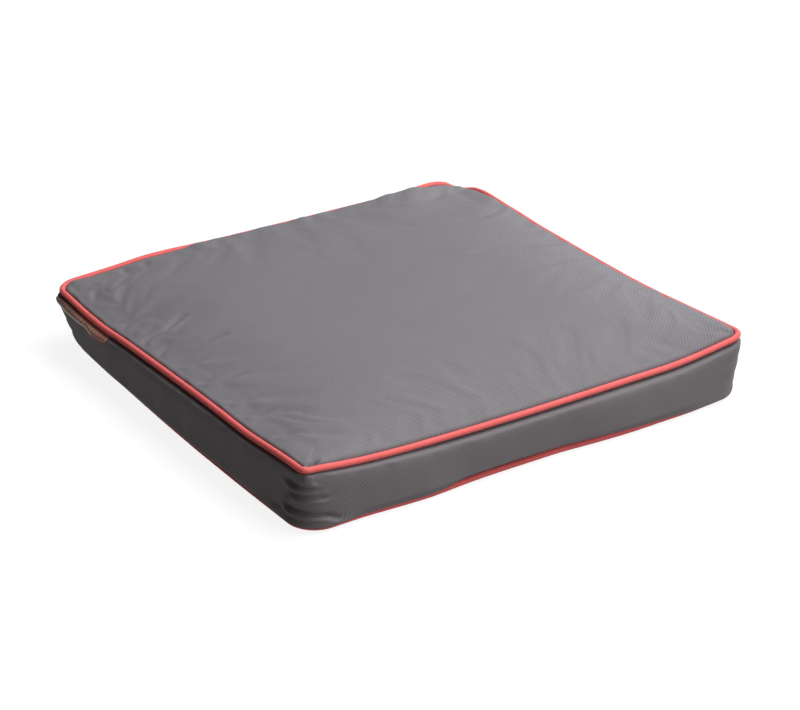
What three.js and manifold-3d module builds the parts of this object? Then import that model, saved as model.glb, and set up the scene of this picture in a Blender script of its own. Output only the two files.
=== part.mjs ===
// A boxed kneeling pad: a foam block between two sheets of fibre wadding, in a piped fabric cover
// that opens along a zip in the back border.
// Millimetres, +Z up. The origin is the centre of the underside, on the ground.
// The front border faces -Y.
import * as THREE from "three";
import { LoftGeometry } from "three/addons/geometries/LoftGeometry.js";
import { mergeVertices } from "three/addons/utils/BufferGeometryUtils.js";
import Module from "manifold-3d";

// ---- driving dimensions ----
const WIDTH = 450; // left to right, between the centres of the piping
const DEPTH = 428; // front to back, between the centres of the piping
const HALF_WIDTH = WIDTH / 2;
const HALF_DEPTH = DEPTH / 2;
const Z_TOP_SEAM = 58.7; // height of the upper piping's centre at the corners
const Z_LOW_SEAM = 2.9; // height of the lower piping's centre
const Z_CROWN = 66; // top of the padded middle
const SAG_FRONT = 11; // how far the upper piping hangs at the middle of each side
const SAG_LEFT = 4.5;
const SAG_RIGHT = 6.4;
const CORNER_TOP = 15; // plan radius of the upper piping's corners
const CORNER_LOW = 26; // plan radius of the lower piping's corners
const CORNER_MIN = 4; // least plan radius of any ring
const CORNER_SPANS = 4;
const SIDE_SPANS = 4;
const MIDDLE = -75; // the panels, foam and wadding are flat inside this line

const FABRIC = 0.6; // cover fabric thickness
const PLY_GAP = 0.2; // air between sewn plies
const CORD_R = 1.85; // piping cord radius
const PIPING_R = 2.65; // finished piping radius
const ALLOWANCE = 10; // seam allowance, measured from the piping's centre
const PLY_START = 3.35; // where panel and border join the allowance, from the piping's centre
const STITCH_LINE = 5.2; // from the piping's centre to the seam thread
const THREAD_R = 0.25;

const WALL_OUT = 1.5; // how far the border stands outside the line of the piping
const WALL_FOOT_Z = 17; // the upright part of the border starts here
const WALL_HEAD_DROP = 14.2; // and ends this far below the upper seam
const WALL_BEND = { out: 0.5, fromSeam: 7.2 }; // between the upright part and each seam

const FOAM_Z0 = 6.4;
const FOAM_Z1 = 56.4;
const FOAM_SIDE = -3.4; // the foam's upright side, measured from the piping's line
const FOAM_BEVEL = -10.8; // where the bevel starts on the foam's upper and lower edges
const FOAM_BEVEL_HIGH = 9.2; // heights of the bevel's two ends, measured from the seam
const FOAM_BEVEL_LOW = 15.5;
const WADDING_GAP = 0.3;

// ---- materials ----
const material = (settings) => new THREE.MeshStandardMaterial(settings);
const grey = material({ color: 0x6b6a6d, roughness: 0.8, metalness: 0 });
const coral = material({ color: 0xd9534f, roughness: 0.7, metalness: 0 });
const cordWhite = material({ color: 0xe8e4da, roughness: 0.9, metalness: 0 });
const foamCream = material({ color: 0xe9ddb0, roughness: 0.95, metalness: 0 });
const fibre = material({ color: 0xf2f2f0, roughness: 1, metalness: 0 });
const zipGrey = material({ color: 0x4a4a4c, roughness: 0.6, metalness: 0 });
const zipMetal = material({ color: 0x8f9093, roughness: 0.35, metalness: 1 });
const labelTan = material({ color: 0x8b6a58, roughness: 0.85, metalness: 0 });
const threadGrey = material({ color: 0x3c3b3d, roughness: 0.6, metalness: 0 });

// ---- groups ----
const pad = new THREE.Group();
const coverGroup = new THREE.Group();
const filling = new THREE.Group();
const zip = new THREE.Group();
pad.add(coverGroup, filling, zip);

function add(parent, name, geometry, surface) {
  const mesh = new THREE.Mesh(geometry, surface);
  mesh.name = name;
  parent.add(mesh);
  return mesh;
}

// ---- stations round the outline ----
// Sides run anticlockwise seen from above. `angle` is the outward direction in degrees;
// `from` and `to` are the signs of x and y at the side's two ends.
const sides = [
  { from: [-1, -1], to: [1, -1], angle: -90, sag: SAG_FRONT },
  { from: [1, -1], to: [1, 1], angle: 0, sag: SAG_RIGHT },
  { from: [1, 1], to: [-1, 1], angle: 90, sag: 0 },
  { from: [-1, 1], to: [-1, -1], angle: 180, sag: SAG_LEFT },
];
const radians = THREE.MathUtils.degToRad;

// A station knows its outward angle, the height of the upper seam there, and its place as
// shares of the distances from the pad's centre to the corner centres.
function makeStations() {
  const list = [];
  for (const { from, to, angle, sag } of sides) {
    for (let i = 0; i <= SIDE_SPANS; i++) {
      const t = i / SIDE_SPANS;
      list.push({
        shares: from.map((start, axis) => start * (1 - t) + to[axis] * t),
        angle: radians(angle),
        seam: Z_TOP_SEAM - sag * 4 * t * (1 - t),
      });
    }
    // the corner that follows the side
    for (let i = 1; i < CORNER_SPANS; i++)
      list.push({ shares: to, angle: radians(angle + (90 * i) / CORNER_SPANS), seam: Z_TOP_SEAM });
  }
  return list;
}
const stations = makeStations();
const BACK_RIGHT = 2 * (SIDE_SPANS + CORNER_SPANS); // index of the back side's first station
const BACK_LEFT = BACK_RIGHT + SIDE_SPANS; // and of its last

// How far the upper seam has sagged at a station.
const sagAt = (station) => Z_TOP_SEAM - station.seam;

// The point that stands `out` outside the piping's line at height z.
function place(station, out, z) {
  const height = (z - Z_LOW_SEAM) / (station.seam - Z_LOW_SEAM);
  const share = Math.min(1, Math.max(0, height));
  const radius = Math.max(CORNER_LOW + (CORNER_TOP - CORNER_LOW) * share + out, CORNER_MIN);
  return new THREE.Vector3(
    station.shares[0] * (HALF_WIDTH + out - radius) + Math.cos(station.angle) * radius,
    station.shares[1] * (HALF_DEPTH + out - radius) + Math.sin(station.angle) * radius,
    z
  );
}

// ---- section helpers ----
function unit(x, y) {
  const length = Math.hypot(x, y);
  return [x / length, y / length];
}
const direction = (start, end) => unit(end[0] - start[0], end[1] - start[1]);

// A polyline moved sideways, to its left as seen along it.
function offset(line, distance) {
  return line.map((point, i) => {
    const before = i > 0 ? direction(line[i - 1], point) : direction(point, line[i + 1]);
    const after = i < line.length - 1 ? direction(point, line[i + 1]) : before;
    const normal = unit(-(before[1] + after[1]), before[0] + after[0]);
    // reach further at a bend, but not more than twice as far
    const reach = distance / Math.max(0.5, normal[1] * before[0] - normal[0] * before[1]);
    return [point[0] + normal[0] * reach, point[1] + normal[1] * reach];
  });
}

// A sheet's closed section from its outer line.
const sheet = (line, thickness) => [...line, ...offset(line, thickness).reverse()];

// ---- solid helpers ----
// Welds the vertices, drops triangles that closed up, and turns the faces outwards.
function tidy(geometry) {
  const loose = geometry.index ? geometry.toNonIndexed() : geometry.clone();
  loose.deleteAttribute("normal");
  loose.deleteAttribute("uv");
  const welded = mergeVertices(loose, 1e-3);
  const { position } = welded.attributes;
  const index = welded.index.array;
  const corner = (i) => new THREE.Vector3().fromBufferAttribute(position, i);
  const kept = [];
  let volume = 0;
  for (let i = 0; i < index.length; i += 3) {
    const [first, second, third] = index.slice(i, i + 3);
    if (first === second || second === third || first === third) continue;
    kept.push(first, second, third);
    volume += corner(first).dot(corner(second).cross(corner(third)));
  }
  if (volume < 0)
    for (let i = 0; i < kept.length; i += 3)
      [kept[i + 1], kept[i + 2]] = [kept[i + 2], kept[i + 1]];
  welded.setIndex(kept);
  return welded;
}

const centre = (points) =>
  points.reduce((sum, point) => sum.add(point), new THREE.Vector3()).divideScalar(points.length);

// A skin through the sections, closed at both ends. The sections are reversed where needed,
// because the end caps depend on which way round the points run.
function capped(sections) {
  const [first, next] = sections;
  const normal = new THREE.Vector3();
  first.forEach((point, i) =>
    normal.add(new THREE.Vector3().crossVectors(point, first[(i + 1) % first.length]))
  );
  const ahead = centre(next).sub(centre(first));
  const list = normal.dot(ahead) > 0 ? sections : sections.map((ring) => ring.slice().reverse());
  return tidy(new LoftGeometry(list, { capStart: true, capEnd: true }));
}

// A sheet or block that covers the middle: inside its first and last rings it is flat.
// `section(station)` gives [out, z] points, as it does in all the sections below.
function cover(section) {
  // rounding gives the end rings one height all the way round
  const flat = ([, z]) => [MIDDLE, Math.round(z * 10) / 10];
  const sections = stations.map((station) => {
    const list = section(station);
    return [flat(list[0]), ...list.slice(1, -1), flat(list[list.length - 1])];
  });
  const rings = sections[0].map((_, k) =>
    stations.map((station, i) => place(station, ...sections[i][k]))
  );
  const middle = (ring) => ring.map((point) => new THREE.Vector3(0, 0, point.z));
  return tidy(new LoftGeometry([middle(rings[0]), ...rings, middle(rings[rings.length - 1])]));
}

// A hoop that runs round the pad along one edge and meets itself.
function hoop(section, up) {
  const sections = stations.map((station) =>
    atEdge(section, station, up).map(([out, z]) => place(station, out, z))
  );
  return tidy(new LoftGeometry([...sections, sections[0]]));
}

// A straight run along X of a section given as [y, z] points.
const run = (points, x0, x1) =>
  capped([x0, x1].map((x) => points.map(([y, z]) => new THREE.Vector3(x, y, z))));

function closedPath(Kind, points) {
  const path = new Kind(points.map(([x, y]) => new THREE.Vector2(x, y)));
  path.closePath();
  return path;
}

// A plate from y0 to y1 whose outline and holes are given as [x, z] points.
function plate(points, y0, y1, holes = []) {
  const shape = closedPath(THREE.Shape, points);
  shape.holes = holes.map((hole) => closedPath(THREE.Path, hole));
  return new THREE.ExtrudeGeometry(shape, { depth: y1 - y0, bevelEnabled: false })
    .rotateX(Math.PI / 2)
    .translate(0, y1, 0);
}

// ---- the sewn edge, in section ----
// (0, 0) is the piping's centre. At the upper edge all four plies of seam allowance point in and
// down: ALONG runs with them and ACROSS at right angles, in and up. The lower edge is its mirror.
const ALONG = unit(-1, -1);
const ACROSS = unit(-1, 1);
const ply = (along, across) => [
  ALONG[0] * along + ACROSS[0] * across,
  ALONG[1] * along + ACROSS[1] * across,
];
const PLY = FABRIC + PLY_GAP;
const HALF_GAP = PLY_GAP / 2;
const PLY_FACE = HALF_GAP + PLY; // near face of the panel's and the border's plies
const panelPly = [ply(PLY_START, PLY_FACE), ply(ALLOWANCE, PLY_FACE)];
const borderPly = [ply(PLY_START, -PLY_FACE), ply(ALLOWANCE, -PLY_FACE)];

const edges = [
  { edge: "top", up: 1 },
  { edge: "bottom", up: -1 },
];

function atEdge(points, station, up) {
  const seam = up > 0 ? station.seam : Z_LOW_SEAM;
  return points.map(([out, z]) => [out, seam + up * z]);
}

function circle(radius, count, start, step) {
  return Array.from({ length: count }, (_, i) => {
    const angle = radians(start + step * i);
    return [Math.cos(angle) * radius, Math.sin(angle) * radius];
  });
}

// The bias strip that wraps the cord: a tube with two plies running inwards.
function pipingSection() {
  const count = 9;
  const mouth = 14; // degrees from the allowance to the tube's first point, either side
  const throat = ply(1.9, HALF_GAP + 0.02); // where each ply's inner face leaves the tube
  const throatBelow = ply(1.9, -HALF_GAP - 0.02);
  const tube = (radius) => circle(radius, count, 225 + mouth, (360 - 2 * mouth) / (count - 1));
  return [
    ply(ALLOWANCE, -HALF_GAP - FABRIC),
    ...tube(PIPING_R),
    ply(ALLOWANCE, HALF_GAP + FABRIC),
    ply(ALLOWANCE, HALF_GAP),
    throat,
    ...tube(PIPING_R - FABRIC).reverse(),
    throatBelow,
    ply(ALLOWANCE, -HALF_GAP),
  ];
}

// The seam thread runs just clear of the panel's ply.
function threadSection() {
  const [out, z] = ply(STITCH_LINE, HALF_GAP + 2 * PLY + 0.1 + THREAD_R);
  return [
    [out + THREAD_R, z],
    [out, z + THREAD_R],
    [out - THREAD_R, z],
    [out, z - THREAD_R],
  ];
}

// ---- fabric panels ----
// The top panel's outer line, from the flat middle to the end of its seam allowance.
function topLine(station) {
  const { seam } = station;
  const puff = 3.4 + sagAt(station) * 0.1; // the panel's steep rise beside the piping
  const at = (share) => seam + puff + (Z_CROWN - seam - puff) * share;
  return [
    [MIDDLE, Z_CROWN],
    [-42, at(0.82)],
    [-20, at(0.42)],
    [-8.5, at(0)],
    [-5.2, seam + 1.9],
    ...atEdge(panelPly, station, 1),
  ];
}

// The underside lies flat on the ground and turns up into the lower seam.
const lowLine = (station) => [
  [MIDDLE, 0],
  [-12, 0],
  [-6.2, 0.35],
  ...atEdge(panelPly, station, -1),
];

// The border's outer line, from the end of its lower allowance to the end of its upper one.
const wallLine = (station) => [
  ...atEdge(borderPly, station, -1).reverse(),
  [WALL_BEND.out, Z_LOW_SEAM + WALL_BEND.fromSeam],
  [WALL_OUT, WALL_FOOT_Z],
  [WALL_OUT, station.seam - WALL_HEAD_DROP],
  [WALL_BEND.out, station.seam - WALL_BEND.fromSeam],
  ...atEdge(borderPly, station, 1),
];
const WALL_HEAD_INDEX = 4; // the upper end of the upright part in wallLine

// ---- filling ----
// Two heights on the foam's upper surface: inside the edge, and at the shoulder.
const foamInset = (station) => FOAM_Z1 - sagAt(station) * 0.25;
const foamShoulder = (station) => Math.min(station.seam - 1, FOAM_Z1) - 1.5;

const foamSection = (station) => [
  [MIDDLE, FOAM_Z1],
  [-32, foamInset(station)],
  [-14, foamShoulder(station)],
  [FOAM_BEVEL, station.seam - FOAM_BEVEL_HIGH],
  [FOAM_SIDE, station.seam - FOAM_BEVEL_LOW],
  [FOAM_SIDE, Z_LOW_SEAM + FOAM_BEVEL_LOW],
  [FOAM_BEVEL, Z_LOW_SEAM + FOAM_BEVEL_HIGH],
  [-14, FOAM_Z0],
  [MIDDLE, FOAM_Z0],
];

// The upper wadding fills what is left between the foam and the top panel.
function waddingTop(station) {
  const above = offset(topLine(station).slice(0, 4), -FABRIC - WADDING_GAP);
  const lift = WADDING_GAP + 0.1; // clearance over the foam's sloping parts
  const edge = -12.6;
  return [
    [MIDDLE, FOAM_Z1 + WADDING_GAP],
    [-32, foamInset(station) + lift],
    [-14, foamShoulder(station) + lift],
    [edge, foamShoulder(station) + 1.6],
    [edge, above[3][1] * 0.65 + above[2][1] * 0.35 - 0.4],
    above[2],
    above[1],
    above[0],
  ];
}

function waddingBottom() {
  const edge = -13.6;
  return [
    [MIDDLE, FABRIC + WADDING_GAP],
    [edge, FABRIC + WADDING_GAP],
    [edge, FOAM_Z0 - WADDING_GAP],
    [MIDDLE, FOAM_Z0 - WADDING_GAP],
  ];
}

add(filling, "foam_core", cover(foamSection), foamCream);
add(filling, "wadding_top", cover(waddingTop), fibre);
add(filling, "wadding_bottom", cover(waddingBottom), fibre);

// ---- cover panels and piping ----
add(coverGroup, "top_panel", cover((station) => sheet(topLine(station), -FABRIC)), grey);
add(coverGroup, "bottom_panel", cover((station) => sheet(lowLine(station), FABRIC)), grey);

for (const { edge, up } of edges) {
  add(coverGroup, `${edge}_piping_cover`, hoop(pipingSection(), up), coral);
  add(coverGroup, `${edge}_piping_cord`, hoop(circle(CORD_R, 8, 22.5, 45), up), cordWhite);
}

// ---- border ----
const ZIP_HALF = 196; // half the length of the zip panel in the back border
const BAND_GAP = 0.4; // between the zip panel and each end of the band
const ZIP_Z = (Z_TOP_SEAM + Z_LOW_SEAM) / 2; // height of the zip's centre line
const FOLD = 5; // from the zip's centre line to each fold
const HEM = 13.5; // how far the turned-in hem reaches from the centre line
const WALL_Y = HALF_DEPTH + WALL_OUT; // outer face of the back border
const HEM_Y = WALL_Y - FABRIC - 0.3; // outer face of the turned-in hem
const TAPE_Y = HEM_Y - FABRIC - 0.2; // outer face of both zip tapes
const backWall = wallLine(stations[BACK_RIGHT]);

// One strip wraps the left side, the front and the right side, and turns both back corners.
function borderBand() {
  const end = (sign) =>
    sheet(backWall, FABRIC).map(
      ([out, z]) => new THREE.Vector3(sign * (ZIP_HALF + BAND_GAP), HALF_DEPTH + out, z)
    );
  const path = [...stations.slice(BACK_LEFT), ...stations.slice(0, BACK_RIGHT + 1)];
  const sections = path.map((station) =>
    sheet(wallLine(station), FABRIC).map(([out, z]) => place(station, out, z))
  );
  return capped([end(-1), ...sections, end(1)]);
}
add(coverGroup, "border_band", borderBand(), grey);

// The zip's sections are [y, z] points with z measured from its centre line.
// `side` is -1 for the half below it.
const halves = [
  { half: "upper", side: 1 },
  { half: "lower", side: -1 },
];
const atZip = (points, side = 1) => points.map(([y, z]) => [y, ZIP_Z + side * z]);

// The back border is two strips folded under along the zip.
function zipStrip() {
  const wall = backWall.map(([out, z]) => [HALF_DEPTH + out, z - ZIP_Z]);
  return [
    [WALL_Y, FOLD],
    ...wall.slice(WALL_HEAD_INDEX),
    ...offset(wall, FABRIC).slice(WALL_HEAD_INDEX).reverse(),
    [WALL_Y - FABRIC, FOLD + FABRIC],
    [HEM_Y, FOLD + FABRIC],
    [HEM_Y, HEM],
    [HEM_Y - FABRIC, HEM],
    [HEM_Y - FABRIC, FOLD],
  ];
}
for (const { half, side } of halves)
  add(coverGroup, `zip_border_${half}`, run(atZip(zipStrip(), side), -ZIP_HALF, ZIP_HALF), grey);

// ---- zip tapes ----
const TAPE_HALF = 13; // from the centre line to each tape's far edge
const TAPE_NEAR = 1; // and to its near edge
const TAPE_END = ZIP_HALF - 1;
const tapeSection = [
  [TAPE_Y, TAPE_NEAR],
  [TAPE_Y, TAPE_HALF],
  [TAPE_Y - FABRIC, TAPE_HALF],
  [TAPE_Y - FABRIC, TAPE_NEAR],
];
for (const { half, side } of halves)
  add(zip, `zip_tape_${half}`, run(atZip(tapeSection, side), -TAPE_END, TAPE_END), zipGrey);

// ---- zip chains ----
const CHAIN_LEFT = -184;
const TEETH = 141;
const TOOTH_PITCH = 2.5;
const TOOTH_TIP = -0.8; // tips cross the centre line
const TOOTH_ROOT = 1.1;
const CHAIN_BACK = 3; // straight back of each row
const CHAIN_IN = TAPE_Y + 0.15;
const CHAIN_OUT = CHAIN_IN + 2;

// A row of teeth on a straight back. The two rows mesh half a pitch apart.
function chain(side) {
  const start = CHAIN_LEFT + (side < 0 ? TOOTH_PITCH / 2 : 0);
  const points = [
    [start - 0.5, CHAIN_BACK],
    [start - 0.5, TOOTH_ROOT],
  ];
  for (let i = 0; i < TEETH; i++) {
    const x = start + i * TOOTH_PITCH + 0.6;
    points.push([x, TOOTH_TIP], [x + TOOTH_PITCH / 2, TOOTH_ROOT]);
  }
  points.push([start + TEETH * TOOTH_PITCH, CHAIN_BACK]);
  const outline = points.map(([x, z]) => [x, side * z]);
  return tidy(plate(outline, CHAIN_IN, CHAIN_OUT).translate(0, 0, ZIP_Z));
}
for (const { half, side } of halves) add(zip, `zip_chain_${half}`, chain(side), zipGrey);

// ---- zip stops ----
// An H across both tapes at the chain's -X end, and a clip on each tape past the closed slider.
const SLIDER_X = 176; // the closed slider's centre
const STOP_IN = TAPE_Y - FABRIC - 0.15; // the stops' faces next to the tapes
const STOP_OUT = TAPE_Y + 0.15;
const STOP_INNER = STOP_IN - 0.8; // the stops' far faces
const STOP_OUTER = STOP_OUT + 1;
const bottomStop = [
  [STOP_OUTER, -2.6], [STOP_OUTER, 2.6], [STOP_OUT, 2.6], [STOP_OUT, 0.75],
  [STOP_IN, 0.75], [STOP_IN, 2.6], [STOP_INNER, 2.6], [STOP_INNER, -2.6],
  [STOP_IN, -2.6], [STOP_IN, -0.75], [STOP_OUT, -0.75], [STOP_OUT, -2.6],
];
const topStop = [
  [STOP_OUTER, 0.2], [STOP_OUTER, 2.8], [STOP_OUT, 2.8], [STOP_OUT, 0.8],
  [STOP_IN, 0.8], [STOP_IN, 2.8], [STOP_INNER, 2.8], [STOP_INNER, 0.2],
];
add(
  zip,
  "zip_bottom_stop",
  run(atZip(bottomStop), CHAIN_LEFT - 4.6, CHAIN_LEFT - 1.2),
  zipMetal
);
for (const { half, side } of halves) {
  const clip = run(atZip(topStop, side), SLIDER_X + 8.2, SLIDER_X + 11);
  add(zip, `zip_top_stop_${half}`, clip, zipMetal);
}

// ---- zip slider ----
const wasm = await Module();
wasm.setup();

function solid(geometry) {
  const { attributes, index } = tidy(geometry);
  const vertProperties = attributes.position.array;
  const triVerts = new Uint32Array(index.array);
  return new wasm.Manifold(new wasm.Mesh({ numProp: 3, vertProperties, triVerts }));
}

function box([x0, x1], [y0, y1], [z0, z1]) {
  const geometry = new THREE.BoxGeometry(x1 - x0, y1 - y0, z1 - z0);
  return solid(geometry.translate((x0 + x1) / 2, (y0 + y1) / 2, (z0 + z1) / 2));
}

function geometryOf(manifold) {
  const mesh = manifold.getMesh();
  return new THREE.BufferGeometry()
    .setAttribute("position", new THREE.BufferAttribute(new Float32Array(mesh.vertProperties), 3))
    .setIndex(new THREE.BufferAttribute(new Uint32Array(mesh.triVerts), 1));
}

const WING_IN = TAPE_Y - FABRIC - 0.35; // inner wing's face towards the tape
const WING_OUT = CHAIN_OUT + 0.3; // outer wing's face towards the chain
const WING = 1.1; // wing thickness
const DECK = WING_OUT + WING; // outer face of the outer wing
const SLIDER_HALF = 6; // half length
const BRIDGE_WIDTH = 2.2;

// [x, z] outline of both wings
const wingOutline = [
  [-SLIDER_HALF, -3.9], [-SLIDER_HALF, 3.9], [-SLIDER_HALF + 3, 4.4], [SLIDER_HALF - 1.6, 4.4],
  [SLIDER_HALF, 3.2], [SLIDER_HALF, -3.2], [SLIDER_HALF - 1.6, -4.4], [-SLIDER_HALF + 3, -4.4],
];
// [x, height over the deck] outline of the bridge, an arch along the slider
const bridgeOutline = [
  [-4.2, 0], [-3.4, 2.5], [-2.4, 3.3], [2.4, 3.3], [3.4, 2.5], [4.2, 0],
  [3.0, 0], [2.4, 1.7], [1.8, 2.2], [-1.8, 2.2], [-2.4, 1.7], [-3.0, 0],
];

// Two wings joined by a post near the +X end, with side flanges that hold the chain, and a
// bridge on the outer wing. Parts run a little into each other so that they join.
function slider() {
  const flangeX = [-SLIDER_HALF + 0.6, SLIDER_HALF - 2.4];
  const flangeY = [TAPE_Y + 0.35, WING_OUT + 0.2];
  const postX = [SLIDER_HALF - 3.4, SLIDER_HALF - 0.6];
  const bridge = new THREE.ExtrudeGeometry(closedPath(THREE.Shape, bridgeOutline), {
    depth: BRIDGE_WIDTH,
    bevelEnabled: false,
  }).translate(0, DECK - 0.05, -BRIDGE_WIDTH / 2);
  return solid(plate(wingOutline, WING_OUT, DECK))
    .add(solid(plate(wingOutline, WING_IN - WING, WING_IN)))
    .add(box(postX, [WING_IN - 0.2, WING_OUT + 0.2], [-0.55, 0.55]))
    .add(box(flangeX, flangeY, [3.35, 4.3]))
    .add(box(flangeX, flangeY, [-4.3, -3.35]))
    .add(solid(bridge));
}
add(zip, "zip_slider", geometryOf(slider()), zipMetal).position.set(SLIDER_X, 0, ZIP_Z);

// ---- zip pull tab ----
// A plate with an eye, whose end bar lies under the bridge, and a second hole near its tip.
// All three outlines are [x, z] points measured from the bar's centre.
const TAB_HALF = 0.5; // half thickness
const BAR_Y = DECK + 1.05;
const tabOutline = [
  [0.55, -2.6], [0.55, 2.6], [-4, 3.0], [-8, 2.3], [-21, 3.2],
  [-24, 2.2], [-24, -2.2], [-21, -3.2], [-8, -2.3], [-4, -3.0],
];
const eyeHole = [[-0.55, -1.6], [-5.6, -1.6], [-5.6, 1.6], [-0.55, 1.6]];
const tipHole = [[-18.4, -1.5], [-21.6, -1.5], [-21.6, 1.5], [-18.4, 1.5]];
const tab = tidy(plate(tabOutline, -TAB_HALF, TAB_HALF, [eyeHole, tipHole]));
add(zip, "zip_pull_tab", tab, zipMetal).position.set(SLIDER_X, BAR_Y, ZIP_Z);

// ---- threads ----
for (const { edge, up } of edges)
  add(coverGroup, `${edge}_seam_thread`, hoop(threadSection(), up), threadGrey);

// A flat line of stitching on the outside of the back border, along each fold.
const STITCH_Z = FOLD + 2.5;
const STITCH_END = ZIP_HALF - 2;
const stitchSection = [
  [WALL_Y + 0.1, STITCH_Z - THREAD_R],
  [WALL_Y + 0.1, STITCH_Z + THREAD_R],
  [WALL_Y + 0.45, STITCH_Z + THREAD_R],
  [WALL_Y + 0.45, STITCH_Z - THREAD_R],
];
for (const { half, side } of halves) {
  const stitch = run(atZip(stitchSection, side), -STITCH_END, STITCH_END);
  add(zip, `zip_stitch_${half}`, stitch, threadGrey);
}

// ---- label ----
// A ribbon label on the left border, below the upper seam and towards the back.
// Its front end is cut on a slant.
const LABEL_X = -HALF_WIDTH - WALL_OUT - 0.35;
const LABEL_Z = Z_TOP_SEAM - 2;
const LABEL_THICKNESS = 0.6;
// [distance out from LABEL_X, y, distance below LABEL_Z]
const labelOutline = [
  [0.2, 200, 2.6],
  [0.3, 110, 5.5],
  [0.9, 118, 12],
  [1.5, 134, 15.8],
  [1.6, 200, 14.6],
];
const labelFace = (shift) =>
  labelOutline.map(([out, y, below]) => new THREE.Vector3(LABEL_X - out - shift, y, LABEL_Z - below));
add(coverGroup, "side_label", capped([labelFace(0), labelFace(LABEL_THICKNESS)]), labelTan);

export default pad;
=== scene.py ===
"""A piped kneeling pad: its looks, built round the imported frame.

The pad is a rectangular cushion lying on the ground, with its middle over the origin. x runs to
the right, y to the back and z up, and the zip is in the back wall. Lengths are millimetres in the
frame's axes, and are turned into metres as the meshes are made. The lights, the camera and the
materials' object coordinates are in metres.
"""
import math

import bpy
import bmesh
import numpy as np
from mathutils import Matrix, Vector
from mathutils.kdtree import KDTree


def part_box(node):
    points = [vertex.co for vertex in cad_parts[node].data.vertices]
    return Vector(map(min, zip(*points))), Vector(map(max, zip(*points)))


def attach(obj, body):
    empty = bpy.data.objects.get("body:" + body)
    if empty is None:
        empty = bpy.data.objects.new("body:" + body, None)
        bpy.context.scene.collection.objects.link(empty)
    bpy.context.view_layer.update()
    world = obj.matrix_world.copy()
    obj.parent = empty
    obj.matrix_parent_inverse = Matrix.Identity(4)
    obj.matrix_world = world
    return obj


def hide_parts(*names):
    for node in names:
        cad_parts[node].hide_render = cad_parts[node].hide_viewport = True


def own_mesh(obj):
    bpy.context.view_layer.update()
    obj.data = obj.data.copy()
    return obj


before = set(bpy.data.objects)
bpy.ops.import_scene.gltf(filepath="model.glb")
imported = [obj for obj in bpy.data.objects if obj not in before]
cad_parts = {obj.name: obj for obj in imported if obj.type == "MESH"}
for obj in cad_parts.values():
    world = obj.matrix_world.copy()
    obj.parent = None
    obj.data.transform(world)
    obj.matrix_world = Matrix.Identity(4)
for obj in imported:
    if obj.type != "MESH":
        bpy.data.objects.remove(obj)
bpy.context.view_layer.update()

MM = 0.001


# ---------------------------------------------------------------- sizes, from the frame's boxes
def box_mm(node):
    low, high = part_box(node)
    return np.array(low) * 1000, np.array(high) * 1000


FLAT_SHARE = math.cos(math.radians(22.5))   # an eight-sided cord's flats, as a share of its radius
_low, _high = box_mm("bottom_piping_cord")
CORD_R = (_high[2] - _low[2]) / 2 / FLAT_SHARE
HALF_X = _high[0] - CORD_R                  # half width between the piping's centres
HALF_Y = _high[1] - CORD_R                  # half depth
Z_LOW = (_low[2] + _high[2]) / 2            # height of the lower piping's centre
CROWN = box_mm("top_panel")[1][2] + 0.9     # top of the padded middle
ZIP_HALF, WALL_Y = box_mm("zip_border_upper")[1][:2]    # half length; the back wall's outer face
ZIP_Z = (box_mm("zip_slider")[0][2] + box_mm("zip_slider")[1][2]) / 2
TAPE_Y = box_mm("zip_tape_upper")[1][1]
FOAM_Z0, FOAM_Z1 = (end[2] for end in box_mm("foam_core"))

PIPE_R = 2.65              # radius of the piping's bias strip
CLOTH, ZIP_CLOTH, TAPE, RIBBON = 0.6, 0.45, 0.5, 0.35    # thicknesses
BORDER_ROWS = 50
SLACK = 0.012              # how much longer the cloth is than its seams allow
SETTLE_FRAMES = 20

UP = {"top": 1, "bottom": -1}        # which way each piping's seam faces
HALF_NAME = {1: "upper", -1: "lower"}    # the two halves of the zip, by sign


# ---------------------------------------------------------------- number tools
def smooth(start, end, x):
    t = np.clip((np.asarray(x, float) - start) / (end - start), 0, 1)
    return t * t * (3 - 2 * t)


TURN = 6.283      # the spread of the random phases and directions


def waves(x, seed, pitch):
    """A smooth, repeatable wander of about plus or minus one along x."""
    draw = np.random.RandomState(seed).rand
    out = np.zeros_like(np.asarray(x, float))
    for _ in range(5):
        out = out + np.sin(2 * math.pi * x / (pitch * (0.6 + 1.1 * draw())) + draw() * TURN) / 5
    return out * 1.8


def waves2(x, y, seed, pitch):
    """The same over a plane."""
    draw = np.random.RandomState(seed).rand
    out = np.zeros_like(np.asarray(x, float))
    for _ in range(9):
        angle = draw() * TURN
        length = pitch * (0.6 + 0.9 * draw())
        across = x * math.cos(angle) + y * math.sin(angle)
        out = out + np.sin(2 * math.pi * across / length + draw() * TURN) / 9
    return out * 1.8


def gaussian(reach, width):
    kernel = np.exp(-0.5 * (np.arange(-reach, reach + 1) / width) ** 2)
    return kernel / kernel.sum()


def blur_loop(values, kernel):
    """Blurs values that run round a closed loop."""
    w = len(kernel) // 2
    return np.convolve(np.concatenate([values[-w:], values, values[:w]]), kernel, "valid")


def spread(values, w):
    return blur_loop(values, np.ones(2 * w + 1) / (2 * w + 1))


def closed(points):
    return np.vstack([points, points[:1]])


def arc_length(points):
    return np.concatenate([[0], np.cumsum(np.linalg.norm(np.diff(points, axis=0), axis=1))])


def even_out(values, passes):
    """Repeated averaging over a grid."""
    for _ in range(passes):
        p = np.pad(values, 1, mode="edge")
        beside = p[:-2, 1:-1] + p[2:, 1:-1] + p[1:-1, :-2] + p[1:-1, 2:]
        values = values * 0.4 + 0.15 * beside
    return values


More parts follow.
